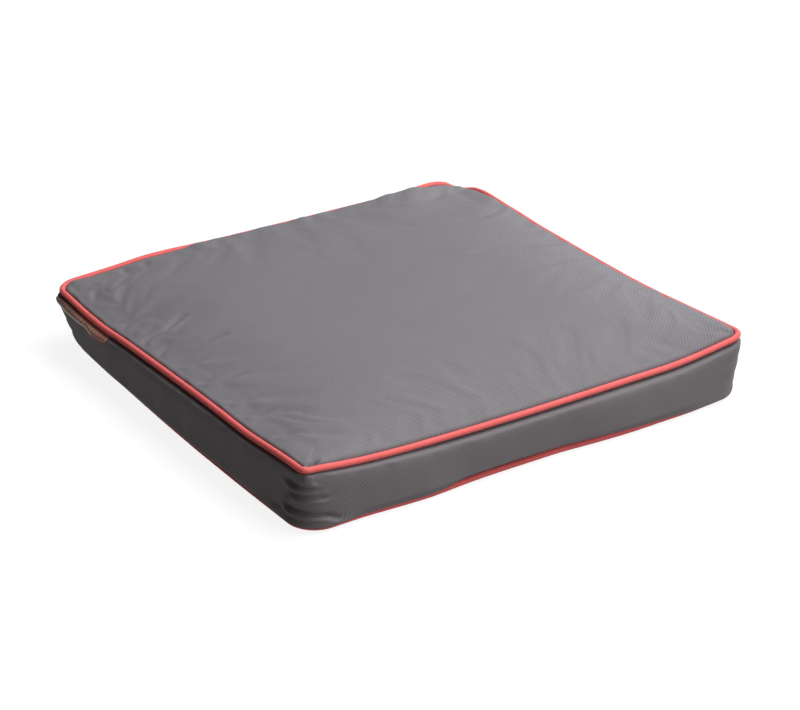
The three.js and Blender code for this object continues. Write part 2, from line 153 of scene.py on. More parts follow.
# ---------------------------------------------------------------- mesh tools
def quads(index, wrap_rows=False, wrap_columns=False, flip=False):
    """Quads between the neighbours of a grid of vertex numbers."""
    if wrap_rows:
        index = np.vstack([index, index[:1]])
    if wrap_columns:
        index = np.hstack([index, index[:, :1]])
    a, b, c, d = index[:-1, :-1], index[:-1, 1:], index[1:, 1:], index[1:, :-1]
    corners = (a, d, c, b) if flip else (a, b, c, d)
    return np.stack([k.ravel() for k in corners], 1).tolist()


def numbers(rows, columns, start=0):
    return start + np.arange(rows * columns).reshape(rows, columns)


def tube_faces(rings, sides, start):
    """The faces of a capped tube, its vertices ring by ring."""
    index = numbers(rings, sides, start)
    return quads(index, wrap_columns=True) + [index[0][::-1].tolist(), index[-1].tolist()]


def set_uv(mesh, corner_uv):
    layer = mesh.uv_layers.new(name="cloth")
    layer.data.foreach_set("uv", corner_uv.astype(np.float32).ravel())


def mesh_object(name, verts, faces, uv=None):
    """verts in mm. uv: one (u, v) in mm for each vertex."""
    m = bpy.data.meshes.new(name)
    m.from_pydata((np.asarray(verts, float) * MM).tolist(), [], faces)
    m.update()
    if uv is not None:
        corner = np.empty(len(m.loops), int)
        m.loops.foreach_get("vertex_index", corner)
        set_uv(m, np.asarray(uv, float)[corner])
    m.polygons.foreach_set("use_smooth", [True] * len(m.polygons))
    o = bpy.data.objects.new(name, m)
    bpy.context.scene.collection.objects.link(o)
    return o


def sheet_object(name, sheet, uv):
    """An open sheet of (rows, columns, 3) points."""
    return mesh_object(name, sheet.reshape(-1, 3), quads(numbers(*sheet.shape[:2])),
                       uv.reshape(-1, 2))


def length_uv(sheet, sign=1):
    """Cloth coordinates measured along the middle row and down the middle column."""
    rows, columns = sheet.shape[:2]
    uv = np.zeros((rows, columns, 2))
    uv[..., 0] = arc_length(sheet[rows // 2])[None, :]
    uv[..., 1] = -arc_length(sheet[:, columns // 2])[:, None] * sign
    return uv


def read_vectors(items, name):
    out = np.empty(len(items) * 3)
    items.foreach_get(name, out)
    return out.reshape(-1, 3)


def apply_modifiers(o):
    dg = bpy.context.evaluated_depsgraph_get()
    dg.update()
    m = bpy.data.meshes.new_from_object(o.evaluated_get(dg), preserve_all_data_layers=True,
                                        depsgraph=dg)
    o.modifiers.clear()
    old = o.data
    o.data = m
    bpy.data.meshes.remove(old)


def thicken(o, thickness):
    """Gives an open sheet its thickness, behind its face."""
    md = o.modifiers.new("cloth thickness", "SOLIDIFY")
    md.thickness = thickness * MM
    md.offset = -1.0
    md.use_even_offset = False
    md.use_quality_normals = False
    apply_modifiers(o)


def face_out(o):
    """Turns the faces of a closed mesh outwards."""
    bm = bmesh.new()
    bm.from_mesh(o.data)
    bmesh.ops.recalc_face_normals(bm, faces=bm.faces)
    bm.to_mesh(o.data)
    bm.free()


def face_towards(o, at, direction):
    """Flips an open sheet if the face nearest a point looks the wrong way."""
    centres = read_vectors(o.data.polygons, "center")
    normals = read_vectors(o.data.polygons, "normal")
    nearest = np.argmin(((centres - np.array(at) * MM) ** 2).sum(1))
    if normals[nearest] @ np.array(direction, float) < 0:
        o.data.flip_normals()


# ---------------------------------------------------------------- the outline
# Stations run from the middle of the front left corner: front, right, back, left.
SIDE_ANGLE = np.radians([-90.0, 0.0, 90.0, 180.0])
FRONT, RIGHT, BACK, LEFT = range(4)
# corner radii of each piping: front left, front right, back right, back left
R_TOP = np.array([5.0, 15.0, 20.0, 19.0])
R_LOW = np.array([24.0, 27.0, 28.0, 32.0])
R_MIN = 0.8

# Tables along the four sides, each running the way the stations do, as (place, value).
# Height of the upper piping:
TOP_Z = [
    [(-225, 58.6), (-212, 57.4), (-198, 55.2), (-187, 54.0), (-165, 51.9), (-130, 50.2),
     (-95, 49.4), (-60, 48.8), (0, 48.4), (50, 48.6), (100, 48.9), (140, 48.9), (153, 49.5),
     (166, 50.6), (179, 51.9), (192, 53.6), (206, 55.6), (225, 58.0)],
    [(-214, 56.6), (-190, 55.6), (-158, 54.0), (-125, 52.4), (-91, 50.6), (-56, 49.9), (0, 50.8),
     (54, 51.9), (92, 52.6), (112, 54.2), (131, 54.9), (151, 55.6), (171, 57.2), (186, 56.6),
     (198, 54.2), (206, 51.6), (214, 50.0)],
    [(-225, 50.0), (-216, 51.6), (-209, 56.0), (-200, 61.6), (-188, 63.0), (-176, 62.4),
     (-154, 60.2), (-126, 59.7), (-60, 60.0), (0, 60.2), (50, 60.5), (75, 61.2), (100, 62.2),
     (125, 62.8), (137, 62.4), (150, 61.3), (162, 60.0), (187, 58.8), (206, 57.8), (225, 56.8)],
    [(-214, 56.8), (-200, 57.2), (-188, 56.6), (-165, 53.4), (-142, 51.8), (-119, 50.9),
     (-97, 52.2), (-75, 53.1), (-31, 54.3), (10, 55.3), (51, 56.1), (91, 55.8), (112, 55.0),
     (130, 54.7), (148, 55.9), (167, 57.0), (186, 58.2), (214, 58.6)],
]
# How far the upper piping wanders outwards:
TOP_OUT = [
    [(-225, 0.0), (0, 0.6), (225, 0.0)],
    [(-214, 0.0), (0, -0.8), (214, 0.0)],
    [(-225, 0.0), (-60, -0.6), (80, 0.5), (225, 0.0)],
    [(-214, 0.0), (-100, -1.0), (60, 0.6), (214, 0.0)],
]
# How far the lower piping wanders outwards:
LOW_OUT = [
    [(-225, 0.0), (-187, -0.6), (-166, 0.6), (-140, 2.0), (-118, 2.8), (-96, 1.2), (-71, -0.6),
     (-40, -1.2), (28, -1.0), (51, 1.0), (74, 2.6), (105, 3.8), (139, 3.0), (170, 3.0),
     (200, 0.6), (225, -2.2)],
    [(-214, -2.0), (-180, -0.5), (-100, 1.2), (0, -0.8), (110, 1.4), (214, -2.0)],
    [(-225, -2.0), (-110, 1.0), (0, -0.6), (120, 0.8), (225, -4.0)],
    [(-214, -15.0), (-190, -14.0), (-168, -11.6), (-136, -9.2), (-105, -8.0), (-62, -6.0),
     (-15, -4.0), (50, -2.0), (130, -1.0), (214, -1.0)],
]


class Outline:
    """The pad's outline at a chosen fineness: stations along each side and in each corner."""

    def __init__(self, along, corner):
        self.per_side = along + corner
        self.count = 4 * self.per_side
        half = corner // 2
        self.side = np.repeat(np.arange(4), self.per_side)
        step = np.tile(np.arange(self.per_side), 4).astype(float)
        # share of the straight part passed, and -1..0 and 0..1 in the corners before and after
        self.share = np.clip((step - half) / along, 0, 1)
        self.bend = np.where(step < half, step / half - 1,
                             np.where(step > half + along, (step - half - along) / half, 0.0))
        angle = SIDE_ANGLE[self.side] + np.radians(45.0) * self.bend
        self.normal = np.stack([np.cos(angle), np.sin(angle)], 1)
        self.half = np.where(self.side % 2 == 0, HALF_X, HALF_Y)
        self.place = self._place()
        self.top_z = self.follow(TOP_Z)
        self.top_out, self.top_slide = self._wander(TOP_OUT)
        self.low_out, self.low_slide = self._wander(LOW_OUT)
        self.arc = arc_length(closed(self.xy(0, 1)))     # count + 1 long

    def _ends(self, radii):
        """The radii at the start and the end of each station's side."""
        return radii[self.side], radii[(self.side + 1) % 4]

    def _place(self):
        """-half..half along the side."""
        r0, r1 = self._ends(R_TOP)
        first, last = -(self.half - r0), self.half - r1
        straight = first + (last - first) * self.share
        return np.where(self.bend < 0, first + r0 * self.bend,
                        np.where(self.bend > 0, last + r1 * self.bend, straight))

    def follow(self, tables):
        """A table's value at every station, with its kinks rounded off along the loop."""
        out = np.empty(self.count)
        for k in range(4):
            at = self.side == k
            out[at] = np.interp(self.place[at], *zip(*tables[k]))
        step = 2 * (HALF_X + HALF_Y) * 2 / self.count
        w = max(1, int(round(9.0 / step)))
        return blur_loop(out, gaussian(3 * w, w))

    def _wander(self, tables):
        """How far each station moves out from its side, and along it so that the corners keep
        both sides' movements."""
        grid = np.arange(-260.0, 261.0, 2.0)
        kernel = gaussian(14, 4.5)
        ends = [(t[0][1], t[-1][1]) for t in tables]
        out, slide = np.empty(self.count), np.empty(self.count)
        for k in range(4):
            at = self.side == k
            rough = np.pad(np.interp(grid, *zip(*tables[k])), 14, "edge")
            v = np.convolve(rough, kernel, "valid")
            # the ends of a side keep their own value exactly
            half = HALF_X if k % 2 == 0 else HALF_Y
            v += ((ends[k][0] - np.interp(-half, grid, v)) * smooth(-half + 40, -half, grid)
                  + (ends[k][1] - np.interp(half, grid, v)) * smooth(half - 40, half, grid))
            p = self.place[at]
            out[at] = np.interp(p, grid, v)
            slide[at] = (-ends[k - 1][1] * smooth(-half + 90, -half + 8, p)
                         + ends[(k + 1) % 4][0] * smooth(half - 90, half - 8, p))
        return out, slide

    def xy(self, u, height):
        """Plan positions, u outside the piping's line, at a share of the height (0 low, 1 top)."""
        r0, r1 = (np.maximum(low + (top - low) * height + u, R_MIN)
                  for low, top in zip(self._ends(R_LOW), self._ends(R_TOP)))
        half = self.half + u
        across = np.where(self.side % 2 == 0, HALF_Y, HALF_X) + u
        run = -(half - r0) + ((half - r0) + (half - r1)) * self.share
        radius = np.where(self.bend < 0, r0, r1)
        facing = SIDE_ANGLE[self.side]
        tangent = facing + math.pi / 2
        outwards = np.stack([np.cos(facing), np.sin(facing)], 1)
        onwards = np.stack([np.cos(tangent), np.sin(tangent)], 1)
        turn = np.radians(45.0) * self.bend
        centre = np.where(self.bend < 0, -(half - r0), half - r1)
        along = np.where(self.bend == 0, run, centre + radius * np.sin(turn))
        out = np.where(self.bend == 0, across, across - radius + radius * np.cos(turn))
        out = out + self.low_out * (1 - height) + self.top_out * height
        along = along + self.low_slide * (1 - height) + self.top_slide * height
        return outwards * out[:, None] + onwards * along[:, None]

    def ring(self, u, z, height):
        return np.column_stack([self.xy(u, height), np.broadcast_to(z, (self.count,))])

    def top(self, u, rise):
        """A ring by the upper seam: u outside and rise above the piping's centre."""
        return self.ring(u, self.top_z + rise, 1)

    def low(self, u, z):
        """A ring by the lower seam, at height z."""
        return self.ring(u, z, 0)

    def beside(self, level, u, rise):
        """A ring u outside and rise above the centre of either piping."""
        return self.top(u, rise) if level == "top" else self.low(u, Z_LOW + rise)


FINE = Outline(along=130, corner=16)
COARSE = Outline(along=36, corner=8)


def fill(outline, ring, first, last):
    """A square grid of points inside a ring, each square ring of the grid a smaller copy of it.

    The rings' spacing goes as `first` at the edge and grows to `last` inside.
    Returns the points (m, m, 3), each point's scale, the grid number of each station and each
    point's place on the loop.
    """
    n = outline.per_side
    half = n // 2
    widths = np.concatenate([np.full(10, first), np.linspace(first, last, half - 10)])
    depth = np.concatenate([[0], np.cumsum(widths)])
    steps = (1 - depth / depth[-1])[::-1]                # from 0 in the middle to 1 at the ring
    ii, jj = np.meshgrid(np.arange(n + 1) - half, np.arange(n + 1) - half, indexing="ij")
    k = np.maximum(abs(ii), abs(jj))
    span = 2 * np.maximum(k, 1)
    pos = np.select([jj == -k, ii == k, jj == k],        # front, right, back, and left
                    [((ii + k) / span) * n, n + ((jj + k) / span) * n,
                     2 * n + ((k - ii) / span) * n], 3 * n + ((k - jj) / span) * n)
    loop = closed(ring)
    scale = steps[k]
    # the inner rings spread their stations evenly, the outer ones keep them close at the corners
    s = arc_length(loop[:, :2])
    side = np.minimum(np.floor(pos / n).astype(int), 3)
    side_length = s[(side + 1) * n] - s[side * n]
    even = np.interp(s[side * n] + (pos / n - side) * side_length, s, np.arange(len(s)))
    inner = smooth(1.5, 24, (1 - scale) * HALF_X)
    pos = pos * (1 - inner) + even * inner
    before = np.clip(np.floor(pos).astype(int), 0, outline.count - 1)
    f = (pos - before)[..., None]
    points = loop[before] * (1 - f) + loop[before + 1] * f
    points[..., :2] *= scale[..., None]
    index = numbers(n + 1, n + 1)
    stations = np.concatenate([index[:n, 0], index[n, :n], index[n:0:-1, n], index[0, n:0:-1]])
    return points, scale, stations, pos


def grid_and_rings(grid, stations, rings, flip):
    """Vertices and faces of a filled grid and the rings that run on from its edge."""
    m, n = len(grid), len(stations)
    verts = np.vstack([grid.reshape(-1, 3)] + rings)
    rows = np.vstack([stations[None], numbers(len(rings), n, m * m)])
    faces = quads(numbers(m, m), flip=flip) + quads(rows, wrap_columns=True, flip=flip)
    return verts, faces


def creases(x, y, strokes):
    """Soft creases: each is a line of points, a half width, a depth (negative for a raised
    fold) and the height of a ridge beside it."""
    z = np.zeros_like(x)
    for points, width, depth, ridge in strokes:
        p = np.array(points, float)
        best = np.full(x.shape, 1e9)
        signed = np.zeros_like(x)
        where = np.zeros_like(x)
        total = np.linalg.norm(np.diff(p, axis=0), axis=1).sum()
        run = 0.0
        for a, b in zip(p[:-1], p[1:]):
            d = b - a
            length = math.hypot(*d)
            t = np.clip(((x - a[0]) * d[0] + (y - a[1]) * d[1]) / (length * length), 0, 1)
            distance = np.hypot(x - (a[0] + d[0] * t), y - (a[1] + d[1] * t))
            side = ((x - a[0]) * d[1] - (y - a[1]) * d[0]) / length
            near = distance < best
            best = np.where(near, distance, best)
            signed = np.where(near, np.sign(side) * distance, signed)
            where = np.where(near, (run + t * length) / total, where)
            run += length
        fade = np.sin(math.pi * np.clip(where * 0.86 + 0.10, 0, 1)) ** 0.7
        z -= depth * fade * np.exp(-(signed / width) ** 2)
        z += ridge * fade * np.exp(-((signed - 2.0 * width) / (1.3 * width)) ** 2)
    return z


# ---------------------------------------------------------------- settling the cloth
CLOTH_SETTINGS = dict(
    quality=5, mass=0.3,
    tension_stiffness=20.0, compression_stiffness=20.0, shear_stiffness=8.0,
    bending_stiffness=0.6,
    tension_damping=6.0, compression_damping=6.0, shear_damping=6.0, bending_damping=0.5,
    air_damping=2.0, use_pressure=True, uniform_pressure_force=4.0,
    vertex_group_mass="sewn", shrink_min=-SLACK)


def settle(o, sewn, grid, broad, fine, swell):
    """Lets a sheet take up its slack by cloth simulation, held where it is sewn, and keeps what
    it does to the surface.

    sewn: 0 free to 1 held, one for each vertex. grid: the shape of the sheet's first vertices.
    broad, fine: how far the wide and the small changes may go, one number or one for each grid
    point. swell: taken off the movement, as the pressure's share of it.
    """
    scene = bpy.context.scene
    before = read_vectors(o.data.vertices, "co")
    normals = read_vectors(o.data.vertices, "normal")
    held = np.round(sewn, 2)
    group = o.vertex_groups.new(name="sewn")
    for level in np.unique(held):
        if level > 0:
            group.add(np.where(held == level)[0].tolist(), float(level), "REPLACE")
    md = o.modifiers.new("settle", "CLOTH")
    for name, setting in CLOTH_SETTINGS.items():
        setattr(md.settings, name, setting)
    md.settings.effector_weights.gravity = 0.0
    md.collision_settings.use_collision = False
    md.collision_settings.use_self_collision = False
    md.point_cache.frame_start = 1
    md.point_cache.frame_end = SETTLE_FRAMES
    for f in range(1, SETTLE_FRAMES + 1):
        scene.frame_set(f)
    evaluated = o.evaluated_get(bpy.context.evaluated_depsgraph_get())
    after = read_vectors(evaluated.data.vertices, "co")
    o.modifiers.clear()
    o.vertex_groups.clear()
    scene.frame_set(1)
    out = ((after - before) * normals).sum(1) / MM
    out[~np.isfinite(out)] = 0.0
    size = grid[0] * grid[1]
    moved = out[:size].reshape(grid)
    wide = even_out(moved, 90)
    small = even_out(moved, 1) - wide
    keep = broad * np.tanh(wide / broad) - swell + fine * np.tanh(small / fine)
    free = (1 - np.clip(sewn[:size], 0, 1)).reshape(grid)
    shift = np.zeros(len(before))
    shift[:size] = (keep * free).ravel()
    o.data.vertices.foreach_set("co", (before + normals * (shift * MM)[:, None]).ravel())
    o.data.update()


# ---------------------------------------------------------------- the top panel
# The panel beside the piping: u, height above the piping's centre, the same on the left side.
PUFF = [
    (-8.0, 6.2, 6.3), (-6.4, 5.7, 6.1), (-5.2, 4.9, 5.7), (-4.4, 3.8, 4.9), (-3.8, 2.3, 3.3),
    (-3.45, 0.6, 1.3), (-3.25, -0.8, -0.7), (-3.1, -1.8, -1.8), (-4.6, -3.4, -3.4),
    (-7.6, -6.3, -6.3),
]
PUFF_LIFT = np.array([0.80, 1.04, 1.0, 0.42])       # front, right, back, left
TOP_CREASES = [          # (x, y) points, half width, depth, ridge
    ([(-219, 61), (-211, 68), (-201, 70), (-190, 70), (-178, 76), (-164, 83)], 2.4, 4.0, 2.4),
    ([(-218, 36), (-206, 40), (-192, 33), (-176, 27), (-156, 26)], 2.6, 3.7, 2.0),
    ([(-216, -32), (-205, -40), (-192, -43), (-176, -45)], 2.6, 3.0, 1.6),
    ([(-217, 104), (-205, 110), (-188, 109)], 2.6, 2.2, 1.2),
    ([(-218, 8), (-206, 3), (-192, 1)], 2.6, 2.2, 1.3),
    ([(-217, -74), (-203, -83), (-186, -86)], 2.8, 2.3, 1.3),
    ([(-217, -104), (-205, -111), (-194, -113)], 2.6, 1.7, 1.0),
    ([(-217, -150), (-204, -158), (-192, -160)], 2.6, 1.5, 0.9),
    ([(-218, 79), (-204, 87), (-184, 91)], 4.6, -1.2, 0.0),
    ([(-214, 199), (-219, 183)], 2.0, 3.0, 0.6),
    ([(-159, 211), (-162, 194)], 2.8, 2.2, 0.5),
    ([(-137, 211), (-141, 195)], 3.0, 2.0, 0.4),
    ([(-178, 211), (-180, 200)], 2.6, 1.6, 0.3),
    ([(-202, 178), (-212, 163)], 2.8, 1.4, 0.6),
    ([(158, 118), (177, 113), (190, 115), (210, 123)], 3.4, 1.3, 0.8),
    ([(120, 47), (150, 40), (170, 34), (190, 30), (214, 32)], 3.4, 1.5, 0.9),
    ([(128, -3), (161, -11), (185, -11), (214, -8)], 3.4, 1.4, 0.9),
    ([(170, 62), (201, 52)], 2.8, 0.8, 0.4),
    ([(106, -209), (118, -203), (131, -208)], 3.2, 1.8, 0.5),
    ([(-206, -206), (-196, -204)], 2.4, 1.3, 0.3),
    ([(-60, 209), (-64, 194)], 3.6, 1.2, 0.3),
    ([(60, -209), (56, -192)], 4.6, 0.8, 0.2),
    ([(219, -120), (198, -129)], 4.6, 0.8, 0.2),
    ([(190, 200), (176, 186), (158, 177)], 4.6, 1.2, 0.6),
    ([(-150, -209), (-139, -194)], 3.6, 0.8, 0.2),
    ([(-219, -120), (-204, -126)], 3.4, 0.7, 0.2),
    ([(-219, 118), (-205, 113)], 3.0, 0.8, 0.3),
]


def puff_rings():
    """The rings of the panel beside the upper piping, from the middle's edge to the allowance."""
    side, place, arc = FINE.side, FINE.place, FINE.arc
    # how strongly the panel puffs, with low spots on the back and right sides and at corners
    dips = np.where(side == BACK, 1 - 0.70 * smooth(80, 105, place)
                    * (1 - smooth(196, 212, place)), 1.0)
    dips = dips * np.where(side == BACK, 1 - 0.90 * smooth(-214, -206, place)
                           * (1 - smooth(-182, -166, place)), 1.0)
    dips = dips * np.where(side == RIGHT, 1 - 0.60 * smooth(150, 180, place)
                           * (1 - smooth(203, 210, place)), 1.0)
    corner = smooth(30, 6, FINE.half - abs(place))
    lift = PUFF_LIFT[side] * dips * (1 - 0.22 * corner)
    lift = spread(spread(lift, 3), 2)
    seam = np.arange(FINE.count) * (arc[-1] / FINE.count)
    lift = lift * (1 + 0.10 * waves(seam, 3, 34) + 0.05 * waves(seam, 4, 13))
    # the back right corner stands up over its piping, and so does a stretch of the back side
    from_back_right = abs(arc[:-1] - arc[2 * FINE.per_side])
    lift = lift + 0.40 * np.exp(-(from_back_right / 8.0) ** 2)
    lift = lift + 0.32 * np.exp(-((place + 140) / 24) ** 4) * (side == BACK)
    # the front left corner leaves a small pocket beside it
    from_front_left = np.where(side == LEFT, arc[:-1] - arc[-1], arc[:-1])
    lift = lift * (1 - 0.5 * np.exp(-((from_front_left - 4.5) / 4.0) ** 2))
    pocket = np.exp(-((from_front_left - 9.5) / 4.6) ** 4) * (side == FRONT)
    leftness = spread((side == LEFT).astype(float), 4)
    rings = []
    for u, height, height_left in PUFF:
        rise = height * (1 - leftness) + height_left * leftness
        if height > 0:
            rise = rise * lift
        sink = pocket * smooth(-3.2, -4.2, u) * smooth(-9.5, -7.0, u)
        rings.append(FINE.top(u - 2.4 * sink * smooth(-7.6, -5.4, u),
                              rise * (1 - 0.5 * sink) - 3.4 * sink * smooth(-9.0, -6.0, u)))
    return rings


def padded_middle(ring):
    """The domed middle of the panel. Returns its grid of points and its stations."""
    pts, scale, stations, pos = fill(FINE, ring, first=1.7, last=3.2)
    x, y = pts[..., 0], pts[..., 1]
    # distance from the edge, with its corners rounded further in
    d_ring = (1 - scale) * (HALF_X + HALF_Y) / 2
    dx, dy = HALF_X - 8 - abs(x), HALF_Y - 8 - abs(y)
    blend = 26.0
    d_soft = -blend * np.log(np.exp(-dx / blend) + np.exp(-dy / blend)) + 6
    w = smooth(0, 20, d_ring)
    d = d_ring * (1 - w) + np.maximum(d_soft, 0) * w
    base = pts[..., 2]
    dome_reach = 92.0
    # steeper towards the front and the right than towards the left
    steep = (1.75 + 0.35 * smooth(70, 0, dx + np.where(x < 0, 90, 0))
             + 0.75 * smooth(70, 0, dy + np.where(y > 0, 90, 0)))
    steep = steep - 0.60 * smooth(120, 0, dx + np.where(x > 0, 150, 0))
    dome = 1 - np.maximum(1 - d / dome_reach, 0) ** steep
    z = base + (CROWN - base) * dome
    z += smooth(0, 22, d) * (0.55 * waves2(x, y, 11, 120)
                             + 0.28 * waves2(x, y, 12, 52) * smooth(140, 20, d))
    # little gathers that run in from the seam and die away
    s_here = np.interp(pos, np.arange(FINE.count + 1), FINE.arc)
    gathers = 0.42 * waves(s_here, 21, 26) + 0.22 * waves(s_here, 22, 12)
    z += gathers * smooth(0, 5, d) * np.exp(-d / 13.0)
    # even out the diagonals
    diagonal = (np.exp(-((dx - dy) / 26) ** 2) * smooth(170, 80, np.maximum(dx, dy))
                + 0.25 * smooth(14, 30, d))
    diagonal = np.minimum(diagonal, 1)
    for _ in range(60):
        mean = z.copy()
        mean[1:-1, 1:-1] = (z[:-2, 1:-1] + z[2:, 1:-1] + z[1:-1, :-2] + z[1:-1, 2:]) / 4
        z = z + (mean - z) * 0.6 * diagonal * smooth(0.5, 12, d_ring)
    pts[..., 2] = z + creases(x, y, TOP_CREASES) * smooth(-1, 7, d)
    return pts, stations


def make_top_panel():
    """Returns the panel and the points of its padded middle."""
    rings = puff_rings()
    grid, stations = padded_middle(rings[0])
    verts, faces = grid_and_rings(grid, stations, rings[1:], flip=True)
    o = mesh_object("top_panel_cloth", verts, faces, verts[:, :2])
    face_towards(o, (0, 0, CROWN), (0, 0, 1))
    m = FINE.per_side + 1
    half = FINE.per_side // 2
    ii, jj = np.meshgrid(np.arange(m), np.arange(m), indexing="ij")
    from_edge = half - np.maximum(abs(ii - half), abs(jj - half))
    sewn = np.ones(len(verts))
    sewn[:m * m] = smooth(9, 1, from_edge).ravel()
    # the cloth is gathered along the left piping and lies smooth elsewhere
    x, y = grid[..., 0], grid[..., 1]
    loose = smooth(-125, -195, x) + 0.6 * smooth(150, 200, y) * smooth(40, -60, x)
    settle(o, sewn, (m, m), broad=0.8, fine=0.30 + 0.75 * np.clip(loose, 0, 1), swell=0.8)
    points = read_vectors(o.data.vertices, "co")[:m * m] / MM
    thicken(o, CLOTH)
    return o, points


# ---------------------------------------------------------------- the bottom panel
# (u, z) from the edge of the flat middle to the seam allowance
BOTTOM_PROFILE = [(-12.0, 0.0), (-9.5, 0.15), (-7.4, 0.5), (-5.6, 1.15), (-4.2, 2.2),
                  (-3.3, 3.4), (-3.05, 4.75), (-4.6, 6.3), (-7.6, 9.2)]


def dimples(x, y):
    return np.maximum(0, 0.5 * waves2(x, y, 43, 90) - 0.1)


def make_bottom_panel():
    """Lies on the ground: only shallow dimples and gathers lift off it."""
    rings = []
    for u, z in BOTTOM_PROFILE:
        lift = 0.35 * (0.5 + 0.5 * waves(FINE.arc[:-1], 41, 30)) * math.exp(-((u + 7) / 3.0) ** 2)
        rings.append(FINE.low(u, z + lift))
    pts, scale, stations, pos = fill(FINE, rings[0], first=2.0, last=3.2)
    d = (1 - scale) * (HALF_X + HALF_Y) / 2
    s_here = np.interp(pos, np.arange(FINE.count + 1), FINE.arc)
    pts[..., 2] = (dimples(pts[..., 0], pts[..., 1]) * smooth(0, 20, d)
                   + np.maximum(0, waves(s_here, 44, 24)) * 0.5 * np.exp(-d / 14)
                   * smooth(0, 4, d))
    verts, faces = grid_and_rings(pts, stations, rings[1:], flip=False)
    o = mesh_object("bottom_panel_cloth", verts, faces, verts[:, :2])
    face_towards(o, (0, 0, 0), (0, 0, -1))
    thicken(o, CLOTH)
    return o


# ---------------------------------------------------------------- the border
# Creases: (distance along the loop from the corner, height) points, half width, depth, ridge.
FRONT_LEFT_CREASES = [
    ([(-10, 21), (-3, 18.5), (3, 15), (9, 11), (14, 8)], 1.7, 4.4, 2.6),
    ([(-30, 12.5), (-22, 13.5), (-14, 16)], 2.4, 1.4, 1.0),
    ([(-6, 34.5), (1, 33.5), (9, 31)], 1.7, 3.8, 2.3),
    ([(-14, 44.5), (-7, 43.5), (0, 41.5), (6, 38.5)], 1.9, 3.6, 2.4),
    ([(-12, 31), (-5, 27.5)], 1.7, 2.0, 1.3),
    ([(7, 54), (5, 48), (7, 43)], 1.8, 1.8, 1.0),
]
OTHER_CREASES = [        # front right, back right, back left
    [([(-18, 36), (-4, 38), (12, 34)], 3.6, 0.4, 0.2),
     ([(-14, 18), (2, 21), (14, 18)], 3.4, 0.4, 0.2)],
    [([(-16, 40), (0, 36), (14, 37)], 2.6, 1.8, 0.9),
     ([(-12, 21), (3, 23), (18, 19)], 2.4, 2.0, 1.0)],
    [([(-14, 34), (0, 37), (12, 33)], 3.0, 1.0, 0.6),
     ([(-16, 17), (-2, 20), (15, 22)], 3.0, 1.2, 0.6)],
]
# Tables along the sides, as for the outline. How far the strip bulges past the piping's line:
BULGE = [
    [(-225, 2.6), (-205, 5.0), (-150, 7.2), (-60, 7.0), (60, 7.4), (160, 7.2), (200, 6.0),
     (225, 4.4)],
    [(-214, 4.4), (-180, 6.6), (0, 8.4), (180, 6.4), (214, 4.2)],
    [(-225, 4.2), (-190, 2.0), (190, 2.0), (208, 5.0), (225, 8.6)],
    [(-214, 8.6), (-185, 8.2), (-100, 7.8), (0, 7.8), (120, 6.8), (190, 5.0), (214, 2.6)],
]
# How far it hangs over the lower piping (0 clear of it, 1 over it):
HANG = [
    [(-225, 0.75), (-200, 0.45), (-160, 0.32), (-112, 0.36), (-99, 0.34), (-88, -0.45),
     (-40, -0.45), (0, -0.38), (45, -0.22), (90, 0.05), (140, 0.45), (190, 0.85), (225, 1.0)],
    [(-214, 1.1), (-150, 0.8), (0, 0.6), (150, 0.8), (214, 0.9)],
    [(-225, 0.9), (-200, 0.3), (200, 0.3), (225, 0.9)],
    [(-214, 0.9), (-150, 0.5), (0, 0.1), (120, 0.05), (190, 0.3), (214, 0.7)],
]


def border_knots():
    """The knots of the border's section at every station, from the upper seam to the lower one,
    as u and z, and how flat each station is held."""
    bulge, hang, top = FINE.follow(BULGE), FINE.follow(HANG), FINE.top_z
    # the back wall is held flat by the zip
    flat = np.where(FINE.side == BACK, smooth(8, 34, FINE.half - abs(FINE.place)), 0.0)
    flat = spread(flat, 4)
    tight = np.where(FINE.side == LEFT, 1.0,
                     np.where(FINE.side == FRONT, smooth(-90, -150, FINE.place), 0.0))
    wall = WALL_Y - HALF_Y
    mid = (top + Z_LOW) / 2
    # the roll of cloth over the lower piping
    roll_u = 3.9 + 1.9 * np.clip(hang, -0.5, 1) * np.clip(bulge / 6, 0.7, 1.2)
    roll_z = np.maximum(6.3 - 3.4 * hang, 2.2)
    soft = [
        (-2.1 + 1.4 * tight, top - 3.2 + 0.1 * tight),
        (-0.9 + 2.1 * tight, top - 4.15 + 0.35 * tight),
        ((0.50 + 0.22 * tight) * bulge, top - 5.1 + 0.35 * tight),
        ((0.82 + 0.06 * tight) * bulge, top - 6.5 + 0.2 * tight),
        (0.95 * bulge, top - 8.9),
        (1.02 * bulge, top - 14.0),
        (1.04 * bulge, mid),
        (1.02 * bulge, 17.0),
        (0.97 * bulge + 0.2, 11.0),
        (np.maximum(0.80 * bulge, roll_u + 0.5), roll_z + 2.4),
        (roll_u, roll_z),
        (np.maximum(roll_u - 1.9, np.minimum(3.3, roll_u - 0.5)),
         roll_z + 0.35 * (1 - hang) + 0.9),
        (np.minimum(2.3, roll_u - 1.2), np.maximum(roll_z + 1.3, 5.75)),
        (0.2, 6.35 + 0.3 * np.maximum(-hang, 0)),
        (-1.9, Z_LOW + 3.0)]
    stiff = [
        (-2.0, top - 3.15), (-0.8, top - 4.1), (0.55 * wall, top - 5.6), (0.88 * wall, top - 7.6),
        (wall, top - 10.5), (wall, top - 15.0), (wall, mid), (wall, 15.0), (wall, 12.5),
        (0.9 * wall, 9.8), (0.75 * wall, 8.6), (0.5 * wall, 7.9), (0.2 * wall, 7.1),
        (-0.8, 6.5), (-1.9, Z_LOW + 3.0)]
    knot_u, knot_z = (np.stack([a[axis] * (1 - flat) + b[axis] * flat
                                for a, b in zip(soft, stiff)]) for axis in (0, 1))
    return knot_u, knot_z, flat


